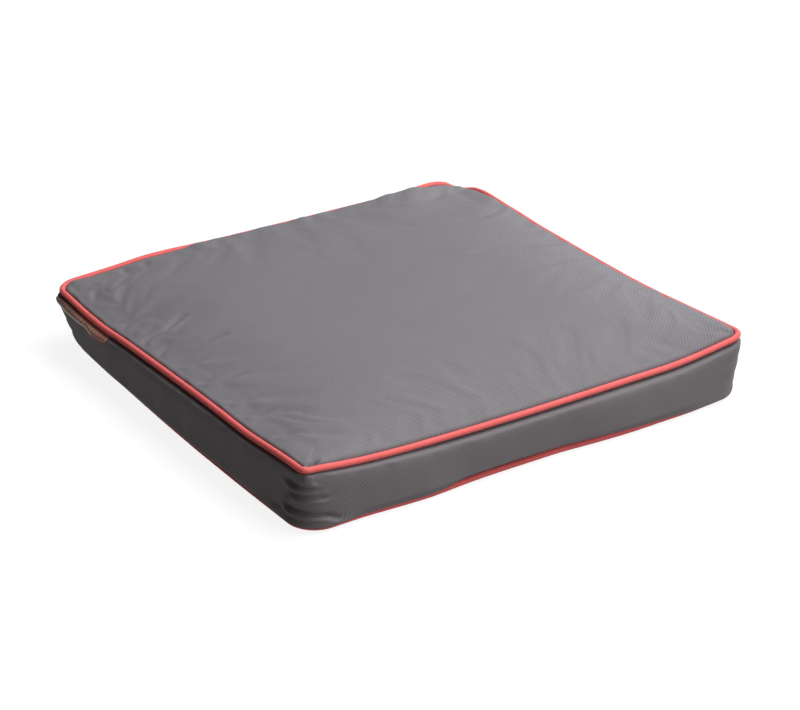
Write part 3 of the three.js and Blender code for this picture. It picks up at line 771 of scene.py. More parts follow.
def knot_slopes(values, at):
    """Slopes at the knots that keep the curve from overshooting."""
    d = np.diff(values, axis=0) / np.diff(at)[:, None]
    total = d[:-1] + d[1:]
    out = np.empty_like(values)
    out[0], out[-1] = d[0], d[-1]
    out[1:-1] = np.where(d[:-1] * d[1:] > 0,
                         2 * d[:-1] * d[1:] / np.where(abs(total) < 1e-9, 1, total), 0)
    return out


def border_rows():
    """Rows of the border's outer face from the upper seam to the lower one."""
    knot_u, knot_z, flat = border_knots()
    lengths = np.hypot(np.diff(knot_u, axis=0), np.diff(knot_z, axis=0)).mean(1)
    at = np.concatenate([[0], np.cumsum(np.sqrt(lengths * 2.2))])
    curves = [(v, knot_slopes(v, at)) for v in (knot_u, knot_z)]
    seam = FINE.arc[:-1]
    from_front_left = seam.copy()
    from_front_left[from_front_left > FINE.arc[-1] / 2] -= FINE.arc[-1]
    top_xy, low_xy = FINE.xy(0, 1), FINE.xy(0, 0)
    rows = []
    for r, t in enumerate(np.linspace(0, at[-1], BORDER_ROWS + 1)):
        i = min(int(np.searchsorted(at, t, "right")) - 1, len(at) - 2)
        h = at[i + 1] - at[i]
        f = (t - at[i]) / h
        u, z = ((2 * f ** 3 - 3 * f ** 2 + 1) * v[i] + (f ** 3 - 2 * f ** 2 + f) * h * slope[i]
                + (-2 * f ** 3 + 3 * f ** 2) * v[i + 1] + (f ** 3 - f ** 2) * h * slope[i + 1]
                for v, slope in curves)
        w = r / BORDER_ROWS
        inside = math.sin(math.pi * ((w - 0.06) / 0.8)) if 0.06 < w < 0.86 else 0.0
        off = inside * (1 - flat) * (0.55 * waves(seam + 9 * w, 31, 95)
                                     + 0.30 * waves(seam + 24 * w, 32, 38))
        off = off + (1 - flat) * 0.45 * waves(seam, 33, 24) * math.exp(-((w - 0.16) / 0.09) ** 2)
        off = off + inside ** 0.5 * creases(from_front_left, z, FRONT_LEFT_CREASES)
        for corner, strokes in enumerate(OTHER_CREASES, 1):
            from_corner = seam - FINE.arc[FINE.per_side * corner]
            off = off + inside * creases(from_corner, z, strokes)
        u = u + off
        height = np.clip((z - Z_LOW) / (FINE.top_z - Z_LOW), 0, 1)[:, None]
        line = top_xy * height + low_xy * (1 - height)
        # the zip holds the back wall in one plane, wherever the pipings wander
        hold = smooth(7.5, 14.0, z) * smooth(-4.5, -10.0, z - FINE.top_z)
        u = u + np.where(FINE.side == BACK, flat * hold * (HALF_Y - line[:, 1]), 0.0)
        rows.append(np.column_stack([line + FINE.normal * u[:, None], z]))
    return rows


def border_sheet():
    """The border's rows with its seam allowances, (rows, stations, 3)."""
    return np.stack([FINE.top(-6.6, -7.9), FINE.top(-3.9, -5.1)] + border_rows()
                    + [FINE.low(-3.9, Z_LOW + 5.1), FINE.low(-6.6, Z_LOW + 7.9)])


def back_columns(sheet, xs):
    """The border's rows where the back wall crosses the given x, (rows, len(xs), 3)."""
    back = np.where(FINE.side == BACK)[0]
    back = np.arange(back[0] - 3, back[-1] + 4)
    out = np.zeros((len(sheet), len(xs), 3))
    for r, row in enumerate(sheet[:, back]):
        row = row[np.argsort(row[:, 0])]
        out[r, :, 0] = xs
        for axis in (1, 2):
            out[r, :, axis] = np.interp(xs, row[:, 0], row[:, axis])
    return out


def tuck(column, x, z_range):
    """A strip's end column set at x, then the allowance behind it: one column just under the
    face and one inside."""
    end = column.copy()
    end[:, 0] = x
    t = np.gradient(end[:, 1:], axis=0)
    length = np.maximum(np.linalg.norm(t, axis=1), 1e-9)
    inwards = np.column_stack([-t[:, 1], t[:, 0]]) / length[:, None]
    if inwards[len(end) // 2, 0] > 0:
        inwards = -inwards
    under = end.copy()
    under[:, 1:] += 0.7 * inwards
    deep = under.copy()
    deep[:, 1] = HALF_Y - 6.0
    deep[:, 2] = np.clip(deep[:, 2], *z_range)
    return [end, under, deep]


def run_on(sheet, last, sign):
    """Columns that carry the border on from its last one to the zip panel's end, and turn in."""
    end_x = sign * (ZIP_HALF + 0.3)
    steps = []
    for k in range(1, 7):
        xs = last[:, 0] + (end_x - last[:, 0]) * k / 6
        steps.append(np.array([back_columns(sheet[r:r + 1], xs[r:r + 1])[0, 0]
                               for r in range(len(xs))]))
    return steps[:-1] + tuck(steps[-1], end_x, (Z_LOW + 6.5, last[0, 2] + 0.4))


def make_border_band():
    """The strip that wraps the left, front and right sides and turns both back corners, from the
    left end of the zip to its right end, with its ends turned in."""
    full = border_sheet()
    back = FINE.side == BACK
    clear = ZIP_HALF + 4.0
    on_left = back & (full[:, :, 0].max(0) < -clear)
    on_right = back & (full[:, :, 0].min(0) > clear)
    order = np.concatenate([np.where(part)[0] for part in
                            (on_left, FINE.side == LEFT, FINE.side < BACK, on_right)])
    sheet = full[:, order]
    left, right = run_on(full, sheet[:, 0], -1), run_on(full, sheet[:, -1], 1)
    sheet = np.concatenate([np.stack(left[::-1], 1), sheet, np.stack(right, 1)], 1)
    rows, columns = sheet.shape[:2]
    o = sheet_object("border_band_cloth", sheet, length_uv(sheet))
    face_towards(o, sheet[rows // 2, columns // 2], (0, -1, 0))
    r, c = np.meshgrid(np.arange(rows), np.arange(columns), indexing="ij")
    sewn = np.maximum(np.maximum(smooth(10, 5, r), smooth(rows - 16, rows - 11, r)),
                      np.maximum(smooth(12, 5, c), smooth(columns - 13, columns - 6, c)))
    settle(o, sewn.ravel(), (rows, columns), broad=0.5, fine=0.5, swell=0.4)
    thicken(o, CLOTH)
    return o


def make_zip_strip(sign):
    """One half of the zip panel: from its seam to the fold beside the zip, then the hem."""
    def seed(upper):
        return upper if sign > 0 else upper + 1
    xs = np.linspace(-ZIP_HALF + 0.35, ZIP_HALF - 0.35, 150)
    sheet = back_columns(border_sheet(), xs)
    middle = len(xs) // 2
    fold = ZIP_Z + sign * (5.0 + 0.25 * waves(xs, seed(51), 60))
    # the rows on this side of the fold, from the seam towards the zip
    part = sheet[(sheet[:, middle, 2] - ZIP_Z) * sign > 6.5][::sign]
    face = part[-1]
    y0 = np.minimum(WALL_Y, face[:, 1] + 0.15)
    wobble = 0.10 * waves(xs, seed(53), 35)
    # the hem stays behind the face at the height of its last row
    hem_depth = 8.6
    z_hem = fold + sign * hem_depth
    y_face = np.empty(len(xs))
    for k in range(len(xs)):
        order = np.argsort(sign * part[:, k, 2])
        y_face[k] = np.interp(sign * z_hem[k], sign * part[order, k, 2], part[order, k, 1])
    y_hem = np.minimum(y0 - 0.98, y_face - 1.05)
    turn = [(y0 + 0.02, 1.4), (y0 - 0.02, 0.55), (y0 - 0.15, 0.18), (y0 - 0.45, 0.02),
            (y0 - 0.75, 0.2), (y0 - 0.92, 0.6), (np.minimum(y0 - 0.96, y_hem + 0.3), 3.0),
            (y_hem, hem_depth)]
    sheet = np.stack(list(part) + [np.column_stack([xs, y + wobble, fold + sign * dz])
                                   for y, dz in turn])
    face_rows = len(sheet) - 5

    def end(column, side):
        """An end of the strip turned in to its seam with the band."""
        x = side * (ZIP_HALF - 0.05)
        seam_z = column[0, 2]
        z_range = (ZIP_Z + 6.0, seam_z + 0.4) if sign > 0 else (seam_z - 1.4, ZIP_Z - 6.0)
        out = []
        for back, upper in zip((0.0, 0.05, 0.1), tuck(column[:face_rows], x, z_range)):
            hem = column[face_rows:].copy()
            hem[:, 0] = x
            hem[:, 1] -= back
            out.append(np.vstack([upper, hem]))
        return out

    left, right = end(sheet[:, 0], -1), end(sheet[:, -1], 1)
    sheet = np.concatenate([np.stack(left[::-1], 1), sheet, np.stack(right, 1)], 1)
    o = sheet_object("zip_border_%s_cloth" % HALF_NAME[sign], sheet, length_uv(sheet, sign))
    face_towards(o, face[middle], (0, 1, 0))
    thicken(o, ZIP_CLOTH)
    return o


# ---------------------------------------------------------------- piping, cord and stitches
def ply(along, across):
    """A point of the piping's section: along its allowance, inwards and down from the upper
    piping's centre, and across it."""
    return (np.array([-1, -1]) / math.sqrt(2)) * along + (np.array([-1, 1]) / math.sqrt(2)) * across


def on_circle(radius, degrees):
    a = math.radians(degrees)
    return np.array([math.cos(a), math.sin(a)]) * radius


def make_piping(level):
    """The bias strip: a tube round the cord with two plies of allowance running in."""
    up = UP[level]
    seam = FINE.arc[:-1]
    outer_points, mouth = 22, 10.0
    lead = [ply(8.6, -0.7), ply(5.0, -0.66)]
    outer = [on_circle(PIPE_R, 225 + mouth + (360 - 2 * mouth) * i / (outer_points - 1))
             for i in range(outer_points)]
    inner = [on_circle(PIPE_R - 0.55, 225 - 14 - (360 - 28) * i / 8) for i in range(9)]
    section = (lead + outer
               + [ply(5.0, 0.66), ply(8.6, 0.7), ply(8.6, 0.1), ply(5.0, 0.1), ply(2.6, 0.12)]
               + inner + [ply(2.6, -0.12), ply(5.0, -0.1), ply(8.6, -0.1)])
    wobble = 1 + 0.012 * waves(seam, 61 + up, 17) + 0.010 * waves(seam, 63 + up, 7)
    rings = []
    for i, p in enumerate(section):
        k = wobble if len(lead) <= i < len(lead) + outer_points else 1.0
        rings.append(FINE.beside(level, p[0] * k, up * (p[1] * k)))
    rows, columns = len(rings), FINE.count
    faces = quads(numbers(rows, columns), wrap_rows=True, wrap_columns=True, flip=True)
    o = mesh_object(level + "_piping_cover_cloth", np.vstack(rings), faces)
    # per corner, so that the last span doesn't run back to zero
    around = arc_length(np.array(section))
    uv = np.dstack(np.meshgrid(FINE.arc, np.append(around, around[-1] + 0.6))).reshape(-1, 2)
    set_uv(o.data, uv[np.array(quads(numbers(rows + 1, columns + 1), flip=True))])
    face_out(o)
    return o


def make_cord(level):
    """A three-strand twisted cord."""
    points = 15
    arc = FINE.arc
    twist = 2 * math.pi * arc[:-1] / arc[-1] * round(arc[-1] / 14.0)
    rings = []
    for i in range(points):
        a = 2 * math.pi * i / points
        r = 1.32 + 0.5 * abs(np.cos(1.5 * (a - twist)))
        rings.append(FINE.beside(level, r * math.cos(a), r * math.sin(a)))
    uv = np.dstack(np.meshgrid(arc[:-1], np.arange(points) * 0.7))
    faces = quads(numbers(points, FINE.count), wrap_rows=True, wrap_columns=True, flip=True)
    o = mesh_object(level + "_piping_cord_twist", np.vstack(rings), faces, uv.reshape(-1, 2))
    face_out(o)
    return o


def stitch_mesh(name, starts, ends, lifts, radius):
    """Separate stitches: each a short thread that rises from one hole and dips into the next."""
    verts, faces = [], []
    rings, sides = 6, 5
    for a, b, lift in zip(starts, ends, lifts):
        a, b, lift = np.array(a), np.array(b), np.array(lift, float)
        across = np.cross(lift, (b - a) / np.linalg.norm(b - a))
        faces += tube_faces(rings, sides, len(verts))
        for k in range(rings):
            w = k / (rings - 1)
            at_hole = k in (0, rings - 1)
            rise = math.sin(math.pi * w) * radius * 1.1 - (0.35 if at_hole else 0.0) * radius
            centre = a + (b - a) * w + lift * rise
            r = radius * (0.55 if at_hole else 1.0)
            for j in range(sides):
                angle = 2 * math.pi * j / sides
                verts.append(centre + across * math.cos(angle) * r + lift * math.sin(angle) * r)
    o = mesh_object(name, np.array(verts), faces)
    face_out(o)
    return o


def make_seam_thread(level):
    """Stitches through the piping's allowance, all the way round."""
    up = UP[level]
    u, rise = ply(5.2, 1.85)
    line = closed(FINE.beside(level, u, up * rise))
    s = arc_length(line)
    count = int(s[-1] / 3.4)
    stitch = np.arange(count)
    starts, ends = (np.array([np.interp(s[-1] * (stitch + f) / count, s, line[:, axis])
                              for axis in range(3)]).T for f in (0.06, 0.94))
    station = np.clip((stitch + 0.5) / count * FINE.count, 0, FINE.count - 1).astype(int)
    diagonal = 0.7071
    lifts = np.column_stack([-FINE.normal[station] * diagonal, np.full(count, diagonal * up)])
    return stitch_mesh(level + "_seam_thread_stitches", starts, ends, lifts, radius=0.2)


def make_zip_stitches(sign):
    """A row of stitches in the back wall, above or below the zip."""
    reach = ZIP_HALF - 3
    count = int(2 * reach / 3.2)
    xs = np.linspace(-reach, reach, count + 1)
    y, z = WALL_Y + 0.12, ZIP_Z + sign * 7.6
    starts = [(x + 0.25, y, z) for x in xs[:-1]]
    ends = [(x - 0.25, y, z) for x in xs[1:]]
    return stitch_mesh("zip_stitch_%s_thread" % HALF_NAME[sign], starts, ends,
                       [(0, 1, 0)] * count, radius=0.24)


# ---------------------------------------------------------------- filling
def pillow(name, rings, upper, lower=None):
    """A closed soft solid: rings from the edge of its upper face, round the side, to the edge of
    its lower face. upper, lower: heights of the faces from x, y, z and scale."""
    grids = []
    for ring, height in ((rings[0], upper), (rings[-1], lower)):
        pts, scale, stations, _ = fill(COARSE, ring, first=9, last=9)
        if height:
            pts[..., 2] = height(pts[..., 0], pts[..., 1], pts[..., 2], scale)
        grids.append(pts)
    verts, faces = grid_and_rings(grids[0], stations, rings[1:-1], flip=True)
    start, n, m = len(verts), COARSE.count, COARSE.per_side + 1
    join = np.stack([start - n + np.arange(n), start + stations])
    faces += quads(join, wrap_columns=True, flip=True) + quads(numbers(m, m, start))
    verts = np.vstack([verts, grids[1].reshape(-1, 3)])
    o = mesh_object(name, verts, faces, verts[:, :2])
    face_out(o)
    return o


def from_shoulder(scale):
    return (1 - scale) * (HALF_X - 22)


def make_foam():
    top = COARSE.top_z
    shoulder = np.minimum(top - 1, FOAM_Z1)
    section = [          # u, z, share of the height
        (-22, shoulder - 0.3, 1), (-15, shoulder - 1.2, 1), (-13, shoulder - 2.2, 1),
        (-11.6, shoulder - 5.0, 1), (-10.8, top - 9.2, 1), (-8.0, top - 11.4, 1),
        (-5.2, top - 14.0, 0.9), (-4.2, top - 16.5, 0.85), (-4.0, (top + Z_LOW) / 2, 0.5),
        (-4.2, Z_LOW + 16.5, 0.15), (-5.4, Z_LOW + 13.8, 0.1), (-8.2, Z_LOW + 11.2, 0.05),
        (-11.4, Z_LOW + 8.2, 0), (-12.8, FOAM_Z0 + 1.6, 0), (-14.0, FOAM_Z0 + 0.5, 0),
        (-16.0, FOAM_Z0, 0)]

    def upper(x, y, z, scale):
        d = from_shoulder(scale)
        z = z + (FOAM_Z1 - z) * smooth(0, 34, d)
        return np.minimum(z + 0.25 * (waves2(x, y, 71, 60) - 1) * smooth(0, 20, d), FOAM_Z1)

    o = pillow("foam_core_block", [COARSE.ring(*row) for row in section], upper)
    md = o.modifiers.new("soft edges", "SUBSURF")
    md.levels = md.render_levels = 1
    apply_modifiers(o)
    return o


def panel_height(points):
    """A function for the height of the top panel's face near x, y."""
    tree = KDTree(len(points))
    for i, p in enumerate(points):
        tree.insert((p[0], p[1], 0), i)
    tree.balance()

    def at(x, y):
        lowest = [min(points[found[1]][2] for found in tree.find_n((a, b, 0), 24))
                  for a, b in zip(x.ravel(), y.ravel())]
        return np.array(lowest).reshape(x.shape)
    return at


def make_wadding_top(surface):
    height = panel_height(surface)
    shoulder = np.minimum(COARSE.top_z - 1, FOAM_Z1)
    edge = COARSE.xy(-13.4, 1)
    top_z = height(edge[:, 0], edge[:, 1]) - 1.5
    low_z = shoulder - 0.6
    section = [(-15.5, top_z), (-13.6, np.maximum(top_z - 1.2, low_z + 0.8)),
               (-13.2, np.maximum(top_z - 2.6, low_z + 0.4)), (-13.8, low_z),
               (-22, shoulder + 0.2)]

    def upper(x, y, z, scale):
        return height(x, y) - 1.25 + 0.25 * (waves2(x, y, 73, 14) - 1)

    def lower(x, y, z, scale):
        return z + (FOAM_Z1 + 0.35 - z) * smooth(0, 34, from_shoulder(scale))

    rings = [COARSE.ring(u, z, 1) for u, z in section]
    return pillow("wadding_top_fleece", rings, upper, lower)


def make_wadding_bottom():
    section = [(-17, FOAM_Z0 - 0.3), (-15.0, FOAM_Z0 - 0.7), (-14.0, FOAM_Z0 - 1.9),
               (-14.2, 2.4), (-16, 1.4)]

    def upper(x, y, z, scale):
        return FOAM_Z0 - 0.3

    def lower(x, y, z, scale):
        return 1.35 + 0.2 * (waves2(x, y, 74, 18) + 1) + dimples(x, y)

    rings = [COARSE.low(u, z) for u, z in section]
    return pillow("wadding_bottom_fleece", rings, upper, lower)


# ---------------------------------------------------------------- zip
def make_tape(sign):
    """One half's tape, with a small ridge beside the coil."""
    xs = np.linspace(-195, 195, 190)
    rows = []
    for d in (1.0, 1.35, 1.9, 2.5, 3.1, 3.8, 5.0, 6.5, 8.0, 9.5, 11.0, 12.4, 13.0):
        ridge = 0.14 * math.exp(-((d - 1.9) / 0.5) ** 2)
        y = TAPE_Y - 0.16 + ridge + 0.05 * waves(xs + 3 * d, 81 + sign, 30)
        rows.append(np.column_stack([xs, y, np.full(len(xs), ZIP_Z + sign * d)]))
    sheet = np.stack(rows)
    o = sheet_object("zip_tape_%s_ribbon" % HALF_NAME[sign], sheet, sheet[..., [0, 2]])
    face_towards(o, (0, TAPE_Y, ZIP_Z + sign * 6), (0, 1, 0))
    thicken(o, TAPE)
    return o


def make_coil(sign):
    """The spiral of one half of the zip: a wire that turns flat at its head and steps along at
    its tail, round a straight cord."""
    name = "zip_chain_" + HALF_NAME[sign]
    low, high = box_mm(name)
    pitch, wire_r = 1.5, 0.30
    grid_start = -184.1        # both spirals start on this grid, half a pitch apart
    x0, x1 = low[0] + 0.4, high[0] - 0.4
    turns = int((x1 - x0) / pitch)
    per_turn, sides = 14, 6
    mid_y = (low[1] + high[1]) / 2
    half_y = (high[1] - low[1]) / 2 - wire_r - 0.02
    head, tail = ZIP_Z - sign * 0.46, ZIP_Z + sign * 2.66
    mid_z, half_z = (head + tail) / 2, abs(head - tail) / 2
    k = np.arange(turns * per_turn + 1)
    cos, sin = np.cos(2 * math.pi * k / per_turn), np.sin(2 * math.pi * k / per_turn)
    step = smooth(0.30, 0.70, (k % per_turn) / per_turn)
    start = round((x0 - grid_start) / pitch) * pitch + grid_start + (0 if sign > 0 else pitch / 2)
    wire = np.column_stack([start + (k // per_turn + step) * pitch,
                            mid_y + half_y * np.copysign(abs(sin) ** 0.7, sin),
                            mid_z - sign * half_z * np.copysign(abs(cos) ** 0.8, cos)])
    t = np.gradient(wire, axis=0)
    t /= np.linalg.norm(t, axis=1)[:, None]
    n1 = np.cross(t, np.array([1.0, 0, 0]))
    n1 /= np.maximum(np.linalg.norm(n1, axis=1), 1e-6)[:, None]
    n2 = np.cross(t, n1)
    angle = (2 * math.pi * np.arange(sides) / sides)[None, :, None]
    rings = wire[:, None] + wire_r * (n1[:, None] * np.cos(angle) + n2[:, None] * np.sin(angle))
    spiral = rings.reshape(-1, 3)
    # the flattened cord inside the spiral
    cord_rings, cord_sides = 160, 8
    x, a = np.meshgrid(np.linspace(wire[0, 0] + 0.3, wire[-1, 0] - 0.3, cord_rings),
                       2 * math.pi * np.arange(cord_sides) / cord_sides, indexing="ij")
    cord_z = ZIP_Z + sign * 1.55
    cord = np.stack([x, mid_y + 0.27 * np.sin(a), cord_z + 0.62 * np.cos(a)], -1).reshape(-1, 3)
    faces = (tube_faces(len(wire), sides, 0)
             + tube_faces(cord_rings, cord_sides, len(spiral)))
    o = mesh_object(name + "_spiral", np.vstack([spiral, cord]), faces)
    face_out(o)
    return o


# ---------------------------------------------------------------- side label
LABEL = (107.0, 203.0)     # y of its front end and its back end
# how far it hangs below the seam at each y: it narrows into the seam at its front end
LABEL_Y = [107, 111, 116, 124, 132, 142, 150, 160, 180, 203]
LABEL_DROP = [3.6, 6.0, 7.0, 7.2, 6.9, 6.2, 5.8, 5.8, 5.6, 5.4]


def make_label():
    """A ribbon caught in the upper seam of the left side."""
    columns = np.stack(border_rows())[:, FINE.side == LEFT]
    columns = columns[:, np.argsort(columns[0, :, 1])]
    ys = np.linspace(*LABEL, 90)
    wall_x, wall_z = (np.stack([np.interp(ys, row[:, 1], row[:, axis]) for row in columns])
                      for axis in (0, 2))
    along = (ys - LABEL[0]) / (LABEL[1] - LABEL[0])
    drop = np.interp(ys, LABEL_Y, LABEL_DROP)
    f = np.linspace(0, 1, 14)[:, None]                   # from the seam to the free edge
    z = wall_z[0] + 0.6 - (drop + 0.6) * f
    x = np.stack([np.interp(z[:, i], wall_z[::-1, i], wall_x[::-1, i])
                  for i in range(len(ys))], 1)
    stand = (0.6 + 0.9 * f * (0.55 + 0.45 * np.sin(ys / 9.0)) + 0.35 * f * waves(ys, 91, 28)
             + 0.7 * f * f * smooth(140, 168, ys) * (1 - 0.7 * smooth(188, 203, ys)))
    x = x - stand * (0.35 + 0.65 * smooth(0.0, 0.12, along))
    sheet = np.stack([x, np.broadcast_to(ys, z.shape), z], -1)
    uv = np.stack([np.broadcast_to(ys - LABEL[0], z.shape), f * drop], -1)
    o = sheet_object("side_label_ribbon", sheet, uv)
    # distance from the free edge, for the ribbon's selvedge, which its front end goes without
    edge = (1 - f) * drop + np.where(ys < 132, 5.0, 0.0)
    attribute = o.data.attributes.new("edge", "FLOAT", "POINT")
    attribute.data.foreach_set("value", edge.ravel().astype(np.float32))
    face_towards(o, (-228, 160, 48), (-1, 0, 0))
    thicken(o, RIBBON)
    return o


# ---------------------------------------------------------------- shader tools
def srgb(*rgb):
    channels = (c / 255 for c in rgb)
    return tuple(c / 12.92 if c <= 0.04045 else ((c + 0.055) / 1.055) ** 2.4
                 for c in channels) + (1.0,)


class Signal:
    """A node's output, with arithmetic that adds math nodes."""

    def __init__(self, graph, socket):
        self.graph, self.socket = graph, socket

    def __add__(self, other): return self.graph.math("ADD", self, other)
    def __radd__(self, other): return self.graph.math("ADD", other, self)
    def __sub__(self, other): return self.graph.math("SUBTRACT", self, other)
    def __rsub__(self, other): return self.graph.math("SUBTRACT", other, self)
    def __mul__(self, other): return self.graph.math("MULTIPLY", self, other)
    def __truediv__(self, other): return self.graph.math("DIVIDE", self, other)
    def __abs__(self): return self.graph.math("ABSOLUTE", self)


class Graph:
    """A small writer of node trees, for a material or a world."""

    def __init__(self, owner):
        self.owner = owner
        owner.use_nodes = True
        self.tree = owner.node_tree
        self.tree.nodes.clear()

    def plug(self, socket, value):
        if isinstance(value, Signal):
            self.tree.links.new(value.socket, socket)
        elif value is not None:
            socket.default_value = value

    def node(self, kind, *inputs, named=None, **settings):
        n = self.tree.nodes.new(kind)
        for key, setting in settings.items():
            setattr(n, key, setting)
        for i, value in enumerate(inputs):
            self.plug(n.inputs[i], value)
        for key, value in (named or {}).items():
            self.plug(n.inputs[key], value)
        return n

    def out(self, kind, *inputs, output=0, **settings):
        return Signal(self, self.node(kind, *inputs, **settings).outputs[output])

    def math(self, operation, a, b=None):
        return self.out("ShaderNodeMath", a, b, operation=operation)

    def fract(self, a):
        return self.math("FRACT", a)

    def triangle(self, phase):
        """1 at whole numbers, down to 0 half way between them."""
        return abs(self.fract(phase) * 2.0 - 1.0)

    def ripple(self, a):
        return abs(self.math("SINE", a))

    def uv(self):
        n = self.node("ShaderNodeSeparateXYZ", self.out("ShaderNodeUVMap", uv_map="cloth"))
        return Signal(self, n.outputs[0]), Signal(self, n.outputs[1])

    def place(self):
        return self.out("ShaderNodeTexCoord", output="Object")

    def noise(self, vector, scale, detail=2.0, rough=0.5):
        return self.out("ShaderNodeTexNoise", output="Fac", named={
            "Vector": vector, "Scale": scale, "Detail": detail, "Roughness": rough})

    def span(self, value, over, to):
        return self.out("ShaderNodeMapRange", value, *over, *to)

    def mix(self, factor, a, b):
        return self.out("ShaderNodeMix", data_type="RGBA", output=2, named={0: factor, 6: a, 7: b})

    def combine(self, x, y):
        return self.out("ShaderNodeCombineXYZ", x, y, 0.0)

    def surface(self, kind, shader):
        self.node(kind, named={"Surface": shader})
        return self.owner

    def shade(self, color, rough, height, depth, strength, **extra):
        """A principled surface with a bump. depth: the bump's distance in metres."""
        named = {"Base Color": color, "Roughness": rough}
        named.update((key.replace("_", " "), value) for key, value in extra.items())
        shader = self.node("ShaderNodeBsdfPrincipled", named=named)
        bump = self.out("ShaderNodeBump", named={
            "Strength": strength, "Distance": depth, "Height": height})
        self.plug(shader.inputs["Normal"], bump)
        return self.surface("ShaderNodeOutputMaterial", Signal(self, shader.outputs[0]))


def material_graph(name):
    return Graph(bpy.data.materials.new(name))


# ---------------------------------------------------------------- materials
def weave(g, phase, along, float_length):
    """Rounded ribs with small floats along them: the heights of both, 0..1."""
    off_rib = g.triangle(phase)
    rib = g.math("POWER", 1.0 - off_rib * off_rib, 0.75)
    which = g.math("FLOOR", phase)
    off_float = g.triangle(along / float_length + which * 0.5)
    return rib, 1.0 - off_float * off_float


BAND_PITCH = {"top": 2.8, "side": 2.05}      # mm between the wide bands
TWILL_PITCH = 1.15                           # mm between the fine ribs


def cover_cloth(name, base, groove, mode, sheen, contrast):
    """The grey cloth of the cover: a fine twill whose lines gather into wider bands."""
    g = material_graph(name)
    u, v = g.uv()
    where = g.place()
    # the factors on u and v below are the directions of the lines
    if mode == "top":
        slope = 0.40 + u * 0.0008            # the bands curve a little
        band = (u - u * u * 0.0006 - v * slope) / BAND_PITCH[mode]
        along = v * 0.94 + u * 0.35
        fine = (u * -0.766 + v * 0.643) / TWILL_PITCH
    else:
        band = (u * 0.469 - v * 0.883) / BAND_PITCH[mode]
        along = u * 0.883 + v * 0.469
        fine = (u * 0.643 + v * 0.766) / TWILL_PITCH
    # both sets of lines wander together, by up to 0.4 of a line
    wander = g.noise(g.combine(u * 0.05, v * 0.05), scale=1.0)
    band = band + wander * 0.4
    fine = fine + wander * 0.4
    rib, floats = weave(g, band, along, float_length=0.95)
    twill, steps = weave(g, fine, (u + v) * 0.7071, float_length=0.7)
    # the bands show most at the front left and fade across the pad
    distance = g.out("ShaderNodeVectorMath", where, (-0.200, -0.214, 0.03),
                     operation="DISTANCE", output="Value")
    show = g.span(distance, over=(0.05, 0.38), to=(1.0, 0.12)) * contrast
    x = g.out("ShaderNodeSeparateXYZ", where)
    if mode == "top":
        y = g.out("ShaderNodeSeparateXYZ", where, output=1)
        front_right = (g.span(x, over=(0.02, 0.16), to=(0.0, 0.55))
                       * g.span(y, over=(0.12, -0.10), to=(0.0, 1.0)))
        show = (g.math("MAXIMUM", show, front_right)
                * g.span(x, over=(-0.222, -0.175), to=(0.25, 1.0)))
    else:
        show = show * g.span(x, over=(-0.214, -0.186), to=(0.0, 1.0))
    # height: the twill with its steps, yarn fuzz, and the bands about their middle height
    yarn = g.noise(g.combine(fine * 2.0, along * 1.6), scale=1.0, detail=3.0, rough=0.6)
    twill = twill * (0.7 + steps * 0.3)
    centre = rib * (0.72 + floats * 0.28) - 0.62
    height = twill * 0.34 + yarn * 0.2 + centre * show * 0.62
    # colour: dark in the grooves, with faint bluish patches and slubs
    tone = g.noise(where, scale=9.0, detail=3.0)
    slub = g.noise(g.combine(fine * 0.35, along * 0.02), scale=1.0)
    lightness = 0.34 + twill * 0.3 + centre * show * 1.0
    col = g.mix(g.out("ShaderNodeClamp", lightness), groove, base)
    col = g.mix(g.span(tone, over=(0.3, 0.7), to=(0.0, 0.06)), col, srgb(118, 120, 128))
    col = g.mix(g.span(slub, over=(0.35, 0.65), to=(0.0, 0.06)), col, groove)
    rough = 0.62 + (0.5 - height) * 0.16
    return g.shade(col, rough, height, depth=0.00022, strength=0.42, Sheen_Weight=sheen,
                   Sheen_Roughness=0.42, Sheen_Tint=srgb(196, 196, 204),
                   Specular_IOR_Level=0.34)


def piping_cloth(name, base, dark):
    """Bias-cut plain cloth round a cord: fine diagonal yarns and faint dents along it."""
    g = material_graph(name)
    u, v = g.uv()
    yarn_pitch = 0.62
    one_way = (u + v) / yarn_pitch
    other_way = (u - v) / yarn_pitch
    weave_height = g.ripple(one_way * math.pi) * 0.55 + g.ripple(other_way * math.pi) * 0.45
    tone = g.noise(g.place(), scale=40.0, detail=3.0)
    dents = g.noise(g.combine(u * 0.33, v * 0.1), scale=1.0)
    col = g.mix(g.span(weave_height, over=(0.2, 0.9), to=(0.0, 1.0)), dark, base)
    col = g.mix(g.span(tone, over=(0.35, 0.65), to=(0.0, 0.12)), col, dark)
    height = weave_height + dents * 1.6
    return g.shade(col, 0.55 + tone * 0.1, height, depth=0.00010, strength=0.7,
                   Sheen_Weight=0.28, Sheen_Roughness=0.4, Sheen_Tint=srgb(255, 190, 180),
                   Specular_IOR_Level=0.35)


def twist_material(name, base, dark, pitch):
    """Twisted yarn: fine fibres over regular bands."""
    g = material_graph(name)
    fibres = g.noise(g.place(), scale=900.0, detail=3.0)
    patches = g.noise(g.place(), scale=60.0)
    bands = g.out("ShaderNodeTexWave", g.place(), output="Fac",
                  named={"Scale": 180.0 / pitch, "Distortion": 1.2})
    height = fibres * 0.5 + bands * 0.5
    col = g.mix(g.span(height, over=(0.2, 0.8), to=(0.0, 1.0)), dark, base)
    col = g.mix(patches * 0.12, col, dark)
    return g.shade(col, 0.7 + fibres * 0.15, height, depth=0.0001, strength=0.6,
                   Sheen_Weight=0.3, Sheen_Roughness=0.5)


